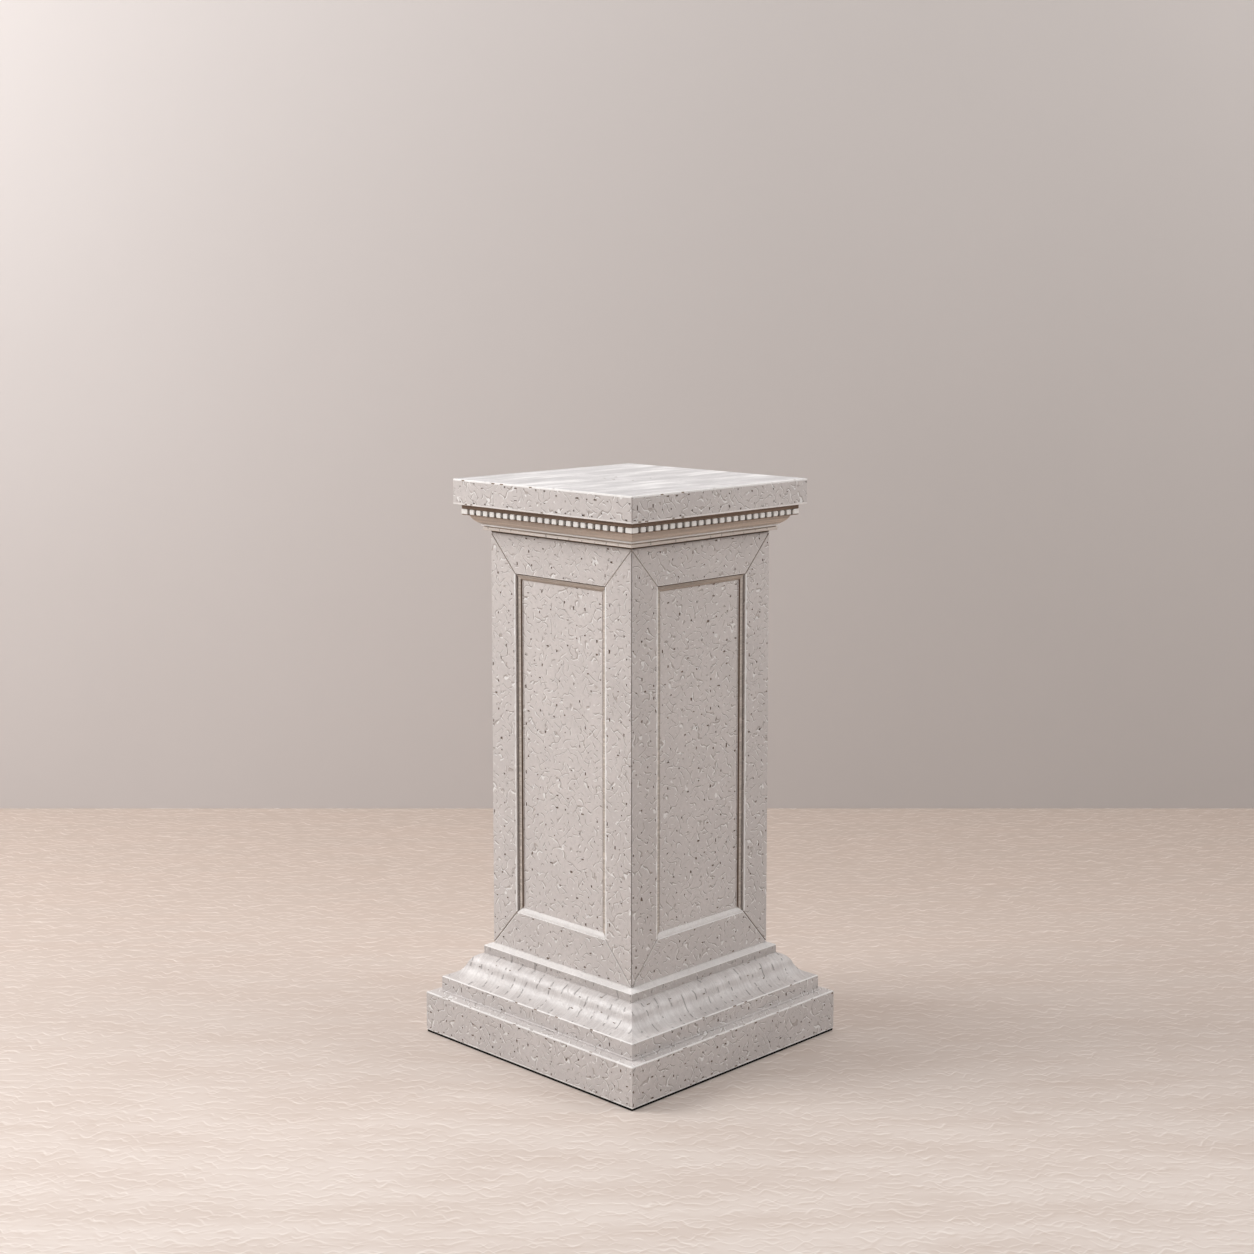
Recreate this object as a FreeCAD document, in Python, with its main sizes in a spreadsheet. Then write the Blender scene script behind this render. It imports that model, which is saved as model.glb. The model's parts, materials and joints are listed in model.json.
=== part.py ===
import FreeCAD, Part
import Sketcher
import os
import re

# Square pedestal column stand: a plywood box that carries a mitred stone-finished
# plinth, base mouldings, panelled shaft faces, a dentilled capital and a cap slab.
# Frame: millimetres, +Z up, origin on the floor under the middle of the stand.
# Every piece of one face is drawn for the front, which looks along -Y, and turned
# about Z to its own face. A name that ends in FACE is a face's distance from the axis.

SIZES = {
    # the shaft, and how far each piece stands out from the one beside it
    "shaft_side": 346.0,
    "base_fillet_projection": 12.5,
    "ogee_projection": 53.5,
    "plinth_ledge": 20.0,
    "foot_inset": 11.0,
    "neck_projection": 10.0,
    "ovolo_projection": 17.0,
    "dentil_soffit": 9.0,
    "slab_overhang": 11.0,
    # heights, from the floor up
    "foot_height": 4.0,
    "plinth_height": 70.0,
    "bead_height": 3.0,
    "step_height": 26.0,
    "ogee_height": 42.0,
    "base_fillet_height": 19.0,
    "shaft_height": 742.0,
    "neck_height": 11.0,
    "ovolo_height": 19.5,
    "lip_height": 1.3,
    "dentil_height": 9.0,
    "cover_fillet_height": 8.2,
    "slab_height": 45.0,
    # base pieces
    "foot_width": 40.0,
    "plinth_board": 22.0,
    "plinth_arris": 2.2,
    "bead_projection": 1.2,
    "step_arris": 1.6,
    "ogee_turn_inset": 21.5,
    "ogee_turn_drop": 20.0,
    "ogee_crown_radius": 29.0,
    "ogee_hollow_radius": 38.0,
    "weather_drop": 4.4,
    # shaft faces
    "frame_board": 12.0,
    "frame_arris": 0.9,
    "stile_width": 62.75,
    "top_rail_width": 68.0,
    "bottom_rail_width": 70.0,
    "recess_depth": 7.0,
    "panel_fit": 0.2,
    "moulding_width": 9.5,
    "moulding_drop": 2.0,
    "moulding_shelf": 1.6,
    "moulding_bead": 1.8,
    "moulding_fall": 3.2,
    # capital
    "neck_round": 3.5,
    "ovolo_lip": 1.0,
    "ovolo_lip_height": 2.0,
    "ovolo_radius": 27.0,
    "dentil_ground": 20.0,
    "dentil_depth": 5.0,
    "dentil_proud": 0.5,
    "dentil_gap": 5.0,
    "dentil_corner": 15.0,
    "dentil_count": 22.0,
    "slab_arris": 2.6,
    # carcass
    "seat_fit": 0.2,
    "core_board": 15.0,
    "batten": 25.0,
    "deck_board": 18.0,
    "corner_block": 50.0,
    # fasteners
    "screw_diameter": 4.5,
    "screw_head_diameter": 9.0,
    "screw_head_height": 3.0,
    "screw_length": 45.0,
    "bolt_inset": 56.0,
    "bolt_diameter": 8.0,
    "bolt_head_width": 15.0,
    "bolt_head_height": 5.3,
    "bolt_flange_diameter": 18.0,
    "bolt_flange_height": 1.5,
    "bolt_grip": 16.0,
    "bolt_clearance": 0.4,
    "insert_diameter": 12.0,
    "insert_length": 20.0,
}

SIDES = {"front": 0, "right": 90, "back": 180, "left": 270}
QUADRANTS = ((1, 1), (-1, 1), (-1, -1), (1, -1))

# Distances from the axis, written in the names of the sheet.
SHAFT_FACE = "(shaft_side / 2)"
CORE_FACE = f"({SHAFT_FACE} - frame_board)"
CORE_INNER = f"({CORE_FACE} - core_board)"
BASE_FILLET_FACE = f"({SHAFT_FACE} + base_fillet_projection)"
STEP_FACE = f"({BASE_FILLET_FACE} + ogee_projection)"
PLINTH_FACE = f"({STEP_FACE} + plinth_ledge)"
FOOT_FACE = f"({PLINTH_FACE} - foot_inset)"
NECK_FACE = f"({SHAFT_FACE} + neck_projection)"
OVOLO_FACE = f"({NECK_FACE} + ovolo_projection)"
DENTIL_FACE = f"({OVOLO_FACE} + dentil_soffit)"
SLAB_FACE = f"({DENTIL_FACE} + slab_overhang)"
# Faces of the applied pieces that lie against the box, and of the panels.
SEAT_FACE = f"({CORE_FACE} + seat_fit)"
PANEL_FACE = f"({SHAFT_FACE} - recess_depth)"
RECESS_FACE = f"({SHAFT_FACE} - stile_width)"
GROUND_INNER = f"({DENTIL_FACE} - dentil_ground)"
PLINTH_INNER = f"({PLINTH_FACE} - plinth_board)"

# Levels above the floor, each one stacked on the one below it.
PLINTH_TOP = "(foot_height + plinth_height)"
STEP_FOOT = f"({PLINTH_TOP} + bead_height)"
STEP_TOP = f"({STEP_FOOT} + step_height)"
OGEE_TOP = f"({STEP_TOP} + ogee_height)"
SHAFT_FOOT = f"({OGEE_TOP} + base_fillet_height)"
SHAFT_TOP = f"({SHAFT_FOOT} + shaft_height)"
NECK_TOP = f"({SHAFT_TOP} + neck_height)"
OVOLO_TOP = f"({NECK_TOP} + ovolo_height)"
DENTIL_FOOT = f"({OVOLO_TOP} + lip_height)"
DENTIL_TOP = f"({DENTIL_FOOT} + dentil_height)"
SLAB_FOOT = f"({DENTIL_TOP} + cover_fillet_height)"
RECESS_FOOT = f"({SHAFT_FOOT} + bottom_rail_width)"
RECESS_TOP = f"({SHAFT_TOP} - top_rail_width)"
DECK_FOOT = f"({PLINTH_TOP} - deck_board)"
DECK_HEIGHT = f"({SLAB_FOOT} - {OVOLO_TOP})"

# Fasteners stand in the middle of the blocks and battens that they hold.
BLOCK_PLACE = f"({PLINTH_INNER} - seat_fit - corner_block / 2)"
BATTEN_PLACE = f"({CORE_INNER} - batten / 2)"
BOLT_PLACE = f"({CORE_INNER} - bolt_inset)"

doc = FreeCAD.newDocument("PedestalStand")
sheet = doc.addObject("Spreadsheet::Sheet", "Sizes")
for row, (alias, size) in enumerate(SIZES.items(), start=1):
    sheet.set(f"A{row}", alias.replace("_", " "))
    sheet.set(f"B{row}", str(size))
    sheet.setAlias(f"B{row}", alias)
doc.recompute()


def bound(formula):
    """The formula with every size name pointing at the sheet."""
    return re.sub(r"[a-z_]+", lambda word: "Sizes." + word.group(), formula)


def number(formula):
    """What the formula gives now."""
    return float(sheet.evalExpression(bound(formula)))


# ---------------------------------------------------------------- sketches

def new_body(name, turn=0):
    """A body that is drawn for the front and turned about Z to its own side."""
    body = doc.addObject("PartDesign::Body", name)
    body.Label = name
    up = FreeCAD.Vector(0, 0, 1)
    body.Placement = FreeCAD.Placement(FreeCAD.Vector(), FreeCAD.Rotation(up, turn))
    return body


def origin_feature(body, role):
    return next(item for item in body.Origin.OriginFeatures if item.Role == role)


def new_sketch(body, plane, away=None):
    """An empty sketch on an origin plane, moved along the plane's normal by away."""
    sketch = body.newObject("Sketcher::SketchObject", body.Name + "_sketch")
    sketch.AttachmentSupport = [(origin_feature(body, plane), "")]
    sketch.MapMode = "FlatFace"
    if away:
        sketch.setExpression("AttachmentOffset.Base.z", bound(away))
    return sketch


def bind(sketch, kind, place, formula):
    """One dimension of the sketch, bound to the sheet."""
    index = sketch.addConstraint(Sketcher.Constraint(kind, *place, number(formula)))
    sketch.setExpression(f"Constraints[{index}]", bound(formula))


def middle_of_bend(start, end, side, radius):
    """The middle of an arc that bulges to the right (1) or the left (-1) of its way."""
    chord = end - start
    half = chord.Length / 2
    rise = radius - (radius ** 2 - half ** 2) ** 0.5
    right = FreeCAD.Vector(chord.y, -chord.x, 0).normalize()
    return (start + end) / 2 + right * rise * side


def outline(sketch, corners, bends=None):
    """A closed outline; bends gives side and radius of the arc after a corner."""
    bends = bends or {}
    first = sketch.GeometryCount
    places = [FreeCAD.Vector(number(x), number(y), 0) for x, y in corners]
    ends = []
    for index, start in enumerate(places):
        end = places[(index + 1) % len(places)]
        side, radius = bends.get(index, (1, None))
        if radius:
            middle = middle_of_bend(start, end, side, number(radius))
            sketch.addGeometry(Part.Arc(start, middle, end))
        else:
            sketch.addGeometry(Part.LineSegment(start, end))
        # a sketch keeps arcs counter-clockwise: one that bulges left has its ends swapped
        ends.append((1, 2) if side > 0 else (2, 1))
    for index, (start, end) in enumerate(ends):
        after = (index + 1) % len(ends)
        joined = (first + index, end, first + after, ends[after][0])
        sketch.addConstraint(Sketcher.Constraint("Coincident", *joined))
    for index, (x, y) in enumerate(corners):
        point = (-1, 1, first + index, ends[index][0])
        bind(sketch, "DistanceX", point, x)
        bind(sketch, "DistanceY", point, y)
    for index, (side, radius) in bends.items():
        bind(sketch, "Radius", (first + index,), radius)


def circle(sketch, x, y, diameter):
    centre = FreeCAD.Vector(number(x), number(y), 0)
    index = sketch.GeometryCount
    normal = FreeCAD.Vector(0, 0, 1)
    sketch.addGeometry(Part.Circle(centre, normal, number(diameter) / 2))
    bind(sketch, "DistanceX", (-1, 1, index, 3), x)
    bind(sketch, "DistanceY", (-1, 1, index, 3), y)
    bind(sketch, "Diameter", (index,), diameter)


# ---------------------------------------------------------------- features

def pad(body, sketch, length, both_ways=False):
    feature = body.newObject("PartDesign::Pad", body.Name + "_pad")
    feature.Profile = sketch
    feature.SideType = "Symmetric" if both_ways else "One side"
    feature.setExpression("Length", bound(length))
    return feature


def pocket(body, sketch, depth=None, upward=False):
    """Cuts the outline to a depth, or right through both ways where none is given."""
    doc.recompute()
    before = body.Shape.Volume
    feature = body.newObject("PartDesign::Pocket", body.Name + "_pocket")
    feature.Profile = sketch
    if depth:
        feature.setExpression("Length", bound(depth))
        feature.Reversed = upward
    else:
        feature.Type = "ThroughAll"
        feature.SideType = "Symmetric"
    doc.recompute()
    if not body.Shape.Volume < before:
        raise RuntimeError(body.Name + ": a pocket cut nothing")
    return feature


def ease(body, size, wanted=None):
    """Bevels the edges whose middle passes the test, or all of them."""
    doc.recompute()
    base = body.Tip
    edges = enumerate(base.Shape.Edges, start=1)
    names = [f"Edge{index}" for index, edge in edges if not wanted or wanted(edge.CenterOfMass)]
    feature = body.newObject("PartDesign::Chamfer", body.Name + "_chamfer")
    feature.Base = (base, names)
    feature.setExpression("Size", bound(size))


def on_front(face):
    """A test for edges that lie in the front plane at that distance from the axis."""
    plane = -number(face)
    return lambda middle: abs(middle.y - plane) < 1e-4


def mitre(body, inner, outer, ends=(-1, 1)):
    """Cuts the ends at 45 degrees in plan, between the inner and the outer face."""
    cut = new_sketch(body, "XY_Plane")
    for end in ends:
        near = (f"({end}) * {inner}", f"-{inner}")
        tip = (f"({end}) * {outer}", f"-{outer}")
        waste = (f"({end}) * {outer}", f"-{inner}")
        outline(cut, [near, tip, waste])
    pocket(body, cut)


def mitred_board(name, turn, foot, height, outer, inner):
    """A flat board with mitred ends, drawn in plan and padded upward."""
    body = new_body(name, turn)
    plan = new_sketch(body, "XY_Plane", foot)
    outer_line = [(f"-{outer}", f"-{outer}"), (outer, f"-{outer}")]
    inner_line = [(inner, f"-{inner}"), (f"-{inner}", f"-{inner}")]
    outline(plan, outer_line + inner_line)
    pad(body, plan, height)
    return body


def mitred_length(name, turn, section, inner, outer, bends=None):
    """A moulding: its section, drawn from the side, runs along X and is mitred."""
    body = new_body(name, turn)
    profile = new_sketch(body, "YZ_Plane")
    outline(profile, section, bends)
    pad(body, profile, f"{outer} * 2", both_ways=True)
    mitre(body, inner, outer)
    return body


def square_board(name, foot, height, half):
    body = new_body(name)
    plan = new_sketch(body, "XY_Plane", foot)
    corners = [(1, 1), (-1, 1), (-1, -1), (1, -1)]
    outline(plan, [(f"({x}) * {half}", f"({y}) * {half}") for x, y in corners])
    pad(body, plan, height)
    return body


def square_posts(name, foot, height, place, side):
    """Four posts, one in each quadrant, with their middles at the given place."""
    body = new_body(name)
    plan = new_sketch(body, "XY_Plane", foot)
    near = f"({place} - {side} / 2)"
    far = f"({place} + {side} / 2)"
    for x, y in QUADRANTS:
        corners = [(near, near), (far, near), (far, far), (near, far)]
        outline(plan, [(f"({x}) * {a}", f"({y}) * {b}") for a, b in corners])
    pad(body, plan, height)
    return body


def drill(body, level, place, diameter, depth, upward=False):
    """Four round holes, one in each quadrant."""
    plan = new_sketch(body, "XY_Plane", level)
    for x, y in QUADRANTS:
        circle(plan, f"({x}) * {place}", f"({y}) * {place}", diameter)
    pocket(body, plan, depth, upward)


# ---------------------------------------------------------------- round bars and groups

def stand(item, quadrant, place, level):
    """Puts a round piece upright in its quadrant."""
    x, y = quadrant
    item.setExpression("Placement.Base.x", bound(f"({x}) * {place}"))
    item.setExpression("Placement.Base.y", bound(f"({y}) * {place}"))
    item.setExpression("Placement.Base.z", bound(level))
    return item


def rod(name, quadrant, place, level, height, diameter):
    bar = doc.addObject("Part::Cylinder", name)
    bar.setExpression("Radius", bound(f"{diameter} / 2"))
    bar.setExpression("Height", bound(height))
    return stand(bar, quadrant, place, level)


def fused(name, members):
    whole = doc.addObject("Part::MultiFuse", name)
    whole.Shapes = members
    return whole


def group(name, members):
    """Alike pieces that share one node, each still its own solid."""
    together = doc.addObject("Part::Compound", name)
    together.Label = name
    together.Links = members
    return together


# ---------------------------------------------------------------- base

def foot_strips():
    """Thin dark strips, set back so that a shadow gap runs under the plinth."""
    inner = f"({FOOT_FACE} - foot_width)"
    strips = [
        mitred_board(f"foot_strip_{side}", turn, None, "foot_height", FOOT_FACE, inner)
        for side, turn in SIDES.items()
    ]
    return group("foot_strips", strips)


def plinth_board(side, turn):
    name = f"plinth_board_{side}"
    foot = "foot_height"
    body = mitred_board(name, turn, foot, "plinth_height", PLINTH_FACE, PLINTH_INNER)
    ease(body, "plinth_arris", on_front(PLINTH_FACE))
    return body


def base_moulding(side, turn):
    """From the top: a crown that turns into a hollow, a square step, a foot bead."""
    bead_face = f"({STEP_FACE} + bead_projection)"
    section = [
        (f"-{SEAT_FACE}", OGEE_TOP),
        (f"-{BASE_FILLET_FACE}", OGEE_TOP),
        (f"-({BASE_FILLET_FACE} + ogee_turn_inset)", f"{OGEE_TOP} - ogee_turn_drop"),
        (f"-({STEP_FACE} - step_arris)", STEP_TOP),
        (f"-{STEP_FACE}", f"{STEP_TOP} - step_arris"),
        (f"-{STEP_FACE}", STEP_FOOT),
        (f"-{bead_face}", STEP_FOOT),
        (f"-{bead_face}", PLINTH_TOP),
        (f"-{SEAT_FACE}", PLINTH_TOP),
    ]
    bends = {1: (1, "ogee_crown_radius"), 2: (-1, "ogee_hollow_radius")}
    name = f"base_moulding_{side}"
    return mitred_length(name, turn, section, SEAT_FACE, bead_face, bends)


def base_fillet(side, turn):
    """A flat band whose top falls outward from the foot of the shaft."""
    section = [
        (f"-{SEAT_FACE}", SHAFT_FOOT),
        (f"-{SHAFT_FACE}", SHAFT_FOOT),
        (f"-{BASE_FILLET_FACE}", f"{SHAFT_FOOT} - weather_drop"),
        (f"-{BASE_FILLET_FACE}", OGEE_TOP),
        (f"-{SEAT_FACE}", OGEE_TOP),
    ]
    return mitred_length(f"base_fillet_{side}", turn, section, SEAT_FACE, BASE_FILLET_FACE)


# ---------------------------------------------------------------- shaft

def frame_member(name, turn, corners, mitred_ends):
    """A stile or a rail, drawn from the front and mitred at the shaft's corners."""
    body = new_body(name, turn)
    front = new_sketch(body, "XZ_Plane", CORE_FACE)
    outline(front, corners)
    pad(body, front, "frame_board")
    mitre(body, CORE_FACE, SHAFT_FACE, mitred_ends)
    ease(body, "frame_arris", on_front(SHAFT_FACE))
    return body


def face_frame(side, turn):
    """Two stiles and two rails, joined from the shaft's corners to the recess."""
    members = []
    for hand, sign in (("left", -1), ("right", 1)):
        edge = f"({sign}) * {SHAFT_FACE}"
        recess = f"({sign}) * {RECESS_FACE}"
        corners = [
            (edge, SHAFT_FOOT),
            (edge, SHAFT_TOP),
            (recess, RECESS_TOP),
            (recess, RECESS_FOOT),
        ]
        members.append(frame_member(f"stile_{side}_{hand}", turn, corners, (sign,)))
    rails = (("top", SHAFT_TOP, RECESS_TOP), ("bottom", SHAFT_FOOT, RECESS_FOOT))
    for place, outer_level, recess_level in rails:
        corners = [
            (f"-{SHAFT_FACE}", outer_level),
            (SHAFT_FACE, outer_level),
            (RECESS_FACE, recess_level),
            (f"-{RECESS_FACE}", recess_level),
        ]
        members.append(frame_member(f"rail_{side}_{place}", turn, corners, (-1, 1)))
    return members


def panel(side, turn):
    body = new_body(f"panel_{side}", turn)
    front = new_sketch(body, "XZ_Plane", CORE_FACE)
    half = f"({RECESS_FACE} - panel_fit)"
    foot = f"{RECESS_FOOT} + panel_fit"
    top = f"{RECESS_TOP} - panel_fit"
    outline(front, [(f"-{half}", foot), (half, foot), (half, top), (f"-{half}", top)])
    pad(body, front, "frame_board - recess_depth")
    return body


def moulding_section(edge, inward, upright):
    """Shelf, slope and bead between the recess's edge and the panel.

    edge is the recess's edge and inward the sign of the way to its middle. An upright
    length is drawn in plan, as (edge, depth), a level one from the side, as (depth, edge).
    """
    crest = f"-({SHAFT_FACE} - moulding_drop)"
    bead = f"-({SHAFT_FACE} - moulding_drop - moulding_fall)"
    steps = [
        ("panel_fit", f"-{PANEL_FACE}"),
        ("panel_fit", crest),
        ("(panel_fit + moulding_shelf)", crest),
        ("(moulding_width - moulding_bead)", bead),
        ("moulding_width", bead),
        ("moulding_width", f"-{PANEL_FACE}"),
    ]
    points = [(f"{edge} + ({inward}) * {across}", depth) for across, depth in steps]
    return points if upright else [(depth, across) for across, depth in points]


def panel_moulding(side, turn):
    """Four mitred lengths round the panel, in one node."""
    near = f"({RECESS_FACE} - panel_fit)"
    far = f"({RECESS_FACE} - moulding_width)"
    foot = f"({RECESS_FOOT} + panel_fit)"
    top = f"({RECESS_TOP} - panel_fit)"
    inner_foot = f"({RECESS_FOOT} + moulding_width)"
    inner_top = f"({RECESS_TOP} - moulding_width)"
    lengths = []
    for hand, sign in (("left", -1), ("right", 1)):
        body = new_body(f"panel_moulding_{side}_{hand}", turn)
        plan = new_sketch(body, "XY_Plane", foot)
        outline(plan, moulding_section(f"({sign}) * {RECESS_FACE}", -sign, True))
        pad(body, plan, f"{top} - {foot}")
        cut = new_sketch(body, "XZ_Plane")
        for outer, inner in ((foot, inner_foot), (top, inner_top)):
            ends = [(near, outer), (far, inner), (far, outer)]
            outline(cut, [(f"({sign}) * {across}", level) for across, level in ends])
        pocket(body, cut)
        lengths.append(body)
    levels = (
        ("bottom", RECESS_FOOT, 1, foot, inner_foot),
        ("top", RECESS_TOP, -1, top, inner_top),
    )
    for place, edge, inward, outer, inner in levels:
        body = new_body(f"panel_moulding_{side}_{place}", turn)
        profile = new_sketch(body, "YZ_Plane")
        outline(profile, moulding_section(edge, inward, False))
        pad(body, profile, f"{near} * 2", both_ways=True)
        cut = new_sketch(body, "XZ_Plane")
        for sign in (-1, 1):
            ends = [(near, outer), (far, inner), (near, inner)]
            outline(cut, [(f"({sign}) * {across}", level) for across, level in ends])
        pocket(body, cut)
        lengths.append(body)
    return group(f"panel_moulding_{side}", lengths)


# ---------------------------------------------------------------- capital

def capital_moulding(side, turn):
    """From the top: an ovolo, its lip, and a neck fillet with a rounded foot."""
    lip_face = f"({NECK_FACE} + ovolo_lip)"
    section = [
        (f"-{SEAT_FACE}", OVOLO_TOP),
        (f"-{OVOLO_FACE}", OVOLO_TOP),
        (f"-{lip_face}", f"{NECK_TOP} + ovolo_lip_height"),
        (f"-{lip_face}", NECK_TOP),
        (f"-{NECK_FACE}", NECK_TOP),
        (f"-{NECK_FACE}", f"{SHAFT_TOP} + neck_round"),
        (f"-({NECK_FACE} - neck_round)", SHAFT_TOP),
        (f"-{SEAT_FACE}", SHAFT_TOP),
    ]
    bends = {1: (1, "ovolo_radius"), 5: (1, "neck_round")}
    name = f"capital_moulding_{side}"
    return mitred_length(name, turn, section, SEAT_FACE, OVOLO_FACE, bends)


def dentil_ground(side, turn):
    """A strip with a channel for the dentils between a thin lip and a cover fillet."""
    channel = f"({DENTIL_FACE} - dentil_depth)"
    section = [
        (f"-{GROUND_INNER}", SLAB_FOOT),
        (f"-{DENTIL_FACE}", SLAB_FOOT),
        (f"-{DENTIL_FACE}", DENTIL_TOP),
        (f"-{channel}", DENTIL_TOP),
        (f"-{channel}", DENTIL_FOOT),
        (f"-{DENTIL_FACE}", DENTIL_FOOT),
        (f"-{DENTIL_FACE}", OVOLO_TOP),
        (f"-{GROUND_INNER}", OVOLO_TOP),
    ]
    name = f"dentil_ground_{side}"
    return mitred_length(name, turn, section, GROUND_INNER, DENTIL_FACE)


def dentil_row(side, turn):
    """A strip that fills the channel, sawn into blocks; the end blocks are mitred."""
    outer = f"({DENTIL_FACE} + dentil_proud)"
    channel = f"({DENTIL_FACE} - dentil_depth)"
    name = f"dentil_row_{side}"
    body = mitred_board(name, turn, DENTIL_FOOT, "dentil_height", outer, channel)
    start = f"-({DENTIL_FACE} - dentil_corner)"
    stop = f"({start} + dentil_gap)"
    gap = new_sketch(body, "XY_Plane", DENTIL_TOP)
    front = [(start, f"-{outer}"), (stop, f"-{outer}")]
    outline(gap, front + [(stop, f"-{channel}"), (start, f"-{channel}")])
    first_gap = pocket(body, gap, "dentil_height")
    gaps = body.newObject("PartDesign::LinearPattern", name + "_gaps")
    gaps.Originals = [first_gap]
    gaps.Direction = (origin_feature(body, "X_Axis"), [""])
    gaps.setExpression("Length", bound(f"2 * ({DENTIL_FACE} - dentil_corner) - dentil_gap"))
    gaps.setExpression("Occurrences", bound("dentil_count + 1"))
    body.Tip = gaps
    return body


def cap_slab():
    """One thick slab with blind holes for its inserts."""
    body = square_board("cap_slab", SLAB_FOOT, "slab_height", SLAB_FACE)
    ease(body, "slab_arris")
    drill(body, SLAB_FOOT, BOLT_PLACE, "insert_diameter", "insert_length", upward=True)
    return body


# ---------------------------------------------------------------- carcass

HEAD_HOLE = "(screw_head_diameter + 2 * seat_fit)"


def core_board(side, turn):
    name = f"core_board_{side}"
    height = f"{OVOLO_TOP} - {PLINTH_TOP}"
    return mitred_board(name, turn, PLINTH_TOP, height, CORE_FACE, CORE_INNER)


def top_deck():
    """Closes the box, carries the slab and keeps the dentil grounds in place."""
    body = square_board("top_deck", OVOLO_TOP, DECK_HEIGHT, f"({GROUND_INNER} - seat_fit)")
    drill(body, SLAB_FOOT, BOLT_PLACE, "(bolt_diameter + bolt_clearance)", DECK_HEIGHT)
    drill(body, SLAB_FOOT, BATTEN_PLACE, "screw_diameter", DECK_HEIGHT)
    drill(body, SLAB_FOOT, BATTEN_PLACE, HEAD_HOLE, "screw_head_height")
    return body


def base_deck():
    """Stands on the corner blocks inside the plinth and carries the box."""
    body = square_board("base_deck", DECK_FOOT, "deck_board", f"({PLINTH_INNER} - seat_fit)")
    for place in (BLOCK_PLACE, BATTEN_PLACE):
        drill(body, PLINTH_TOP, place, "screw_diameter", "deck_board")
    drill(body, PLINTH_TOP, BLOCK_PLACE, HEAD_HOLE, "screw_head_height")
    drill(body, DECK_FOOT, BATTEN_PLACE, HEAD_HOLE, "screw_head_height", upward=True)
    return body


def corner_battens():
    height = f"{OVOLO_TOP} - {PLINTH_TOP}"
    body = square_posts("corner_battens", PLINTH_TOP, height, BATTEN_PLACE, "batten")
    upper_grip = f"screw_length - {DECK_HEIGHT}"
    lower_grip = "screw_length - deck_board"
    drill(body, OVOLO_TOP, BATTEN_PLACE, "screw_diameter", upper_grip)
    drill(body, PLINTH_TOP, BATTEN_PLACE, "screw_diameter", lower_grip, upward=True)
    return body


def plinth_corner_blocks():
    height = f"{DECK_FOOT} - foot_height"
    name = "plinth_corner_blocks"
    body = square_posts(name, "foot_height", height, BLOCK_PLACE, "corner_block")
    drill(body, DECK_FOOT, BLOCK_PLACE, "screw_diameter", "screw_length - deck_board")
    return body


# ---------------------------------------------------------------- fasteners

def screw(name, quadrant, place, head_level, shank_level):
    """A flat-headed screw; the levels are the undersides of its head and shank."""
    head = rod(name + "_head", quadrant, place, head_level, "screw_head_height",
               "screw_head_diameter")
    shank = rod(name + "_shank", quadrant, place, shank_level,
                "screw_length - screw_head_height", "screw_diameter")
    return fused(name, [head, shank])


def screws_down(name, place, top):
    """Four screws driven down, with their heads flush with the given top."""
    head_level = f"{top} - screw_head_height"
    shank_level = f"{top} - screw_length"
    return [
        screw(f"{name}_{index}", quadrant, place, head_level, shank_level)
        for index, quadrant in enumerate(QUADRANTS)
    ]


def screws_up(name, place, foot):
    """Four screws driven up, with their heads flush with the given underside."""
    shank_level = f"{foot} + screw_head_height"
    return [
        screw(f"{name}_{index}", quadrant, place, foot, shank_level)
        for index, quadrant in enumerate(QUADRANTS)
    ]


def cap_bolt(name, quadrant):
    """A flanged hexagon bolt that comes up through the top deck into the slab."""
    flange_level = f"{OVOLO_TOP} - bolt_flange_height"
    shank_height = f"{DECK_HEIGHT} + bolt_grip"
    head = doc.addObject("Part::Prism", name + "_head")
    head.Polygon = 6
    head.setExpression("Circumradius", bound("bolt_head_width / 2"))
    head.setExpression("Height", bound("bolt_head_height"))
    stand(head, quadrant, BOLT_PLACE, f"{flange_level} - bolt_head_height")
    flange = rod(name + "_flange", quadrant, BOLT_PLACE, flange_level,
                 "bolt_flange_height", "bolt_flange_diameter")
    shank = rod(name + "_shank", quadrant, BOLT_PLACE, OVOLO_TOP, shank_height,
                "bolt_diameter")
    return fused(name, [head, flange, shank])


def cap_insert(name, quadrant):
    """A sleeve in the slab that takes the bolt's thread."""
    sleeve = rod(name + "_outside", quadrant, BOLT_PLACE, SLAB_FOOT, "insert_length",
                 "insert_diameter")
    bore = rod(name + "_bore", quadrant, BOLT_PLACE, SLAB_FOOT, "insert_length",
               "bolt_diameter")
    insert = doc.addObject("Part::Cut", name)
    insert.Base = sleeve
    insert.Tool = bore
    return insert


def in_quadrants(name, make):
    members = [make(f"{name}_{index}", quadrant) for index, quadrant in enumerate(QUADRANTS)]
    return group(name, members)


# ---------------------------------------------------------------- the whole stand

def build():
    """Every node of the stand."""
    nodes = [foot_strips(), cap_slab(), top_deck(), base_deck()]
    nodes += [corner_battens(), plinth_corner_blocks()]
    of_each_side = (
        plinth_board, base_moulding, base_fillet, panel, panel_moulding,
        capital_moulding, dentil_ground, core_board,
    )
    for side, turn in SIDES.items():
        nodes += [make(side, turn) for make in of_each_side]
        nodes += face_frame(side, turn)
    rows = [dentil_row(side, turn) for side, turn in SIDES.items()]
    nodes.append(group("dentil_blocks", rows))
    nodes.append(group("deck_screws", screws_down("deck_screw", BLOCK_PLACE, PLINTH_TOP)))
    upper = screws_down("upper_batten_screw", BATTEN_PLACE, SLAB_FOOT)
    lower = screws_up("lower_batten_screw", BATTEN_PLACE, DECK_FOOT)
    nodes.append(group("batten_screws", upper + lower))
    nodes.append(in_quadrants("cap_bolts", cap_bolt))
    nodes.append(in_quadrants("cap_inserts", cap_insert))
    return nodes


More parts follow.
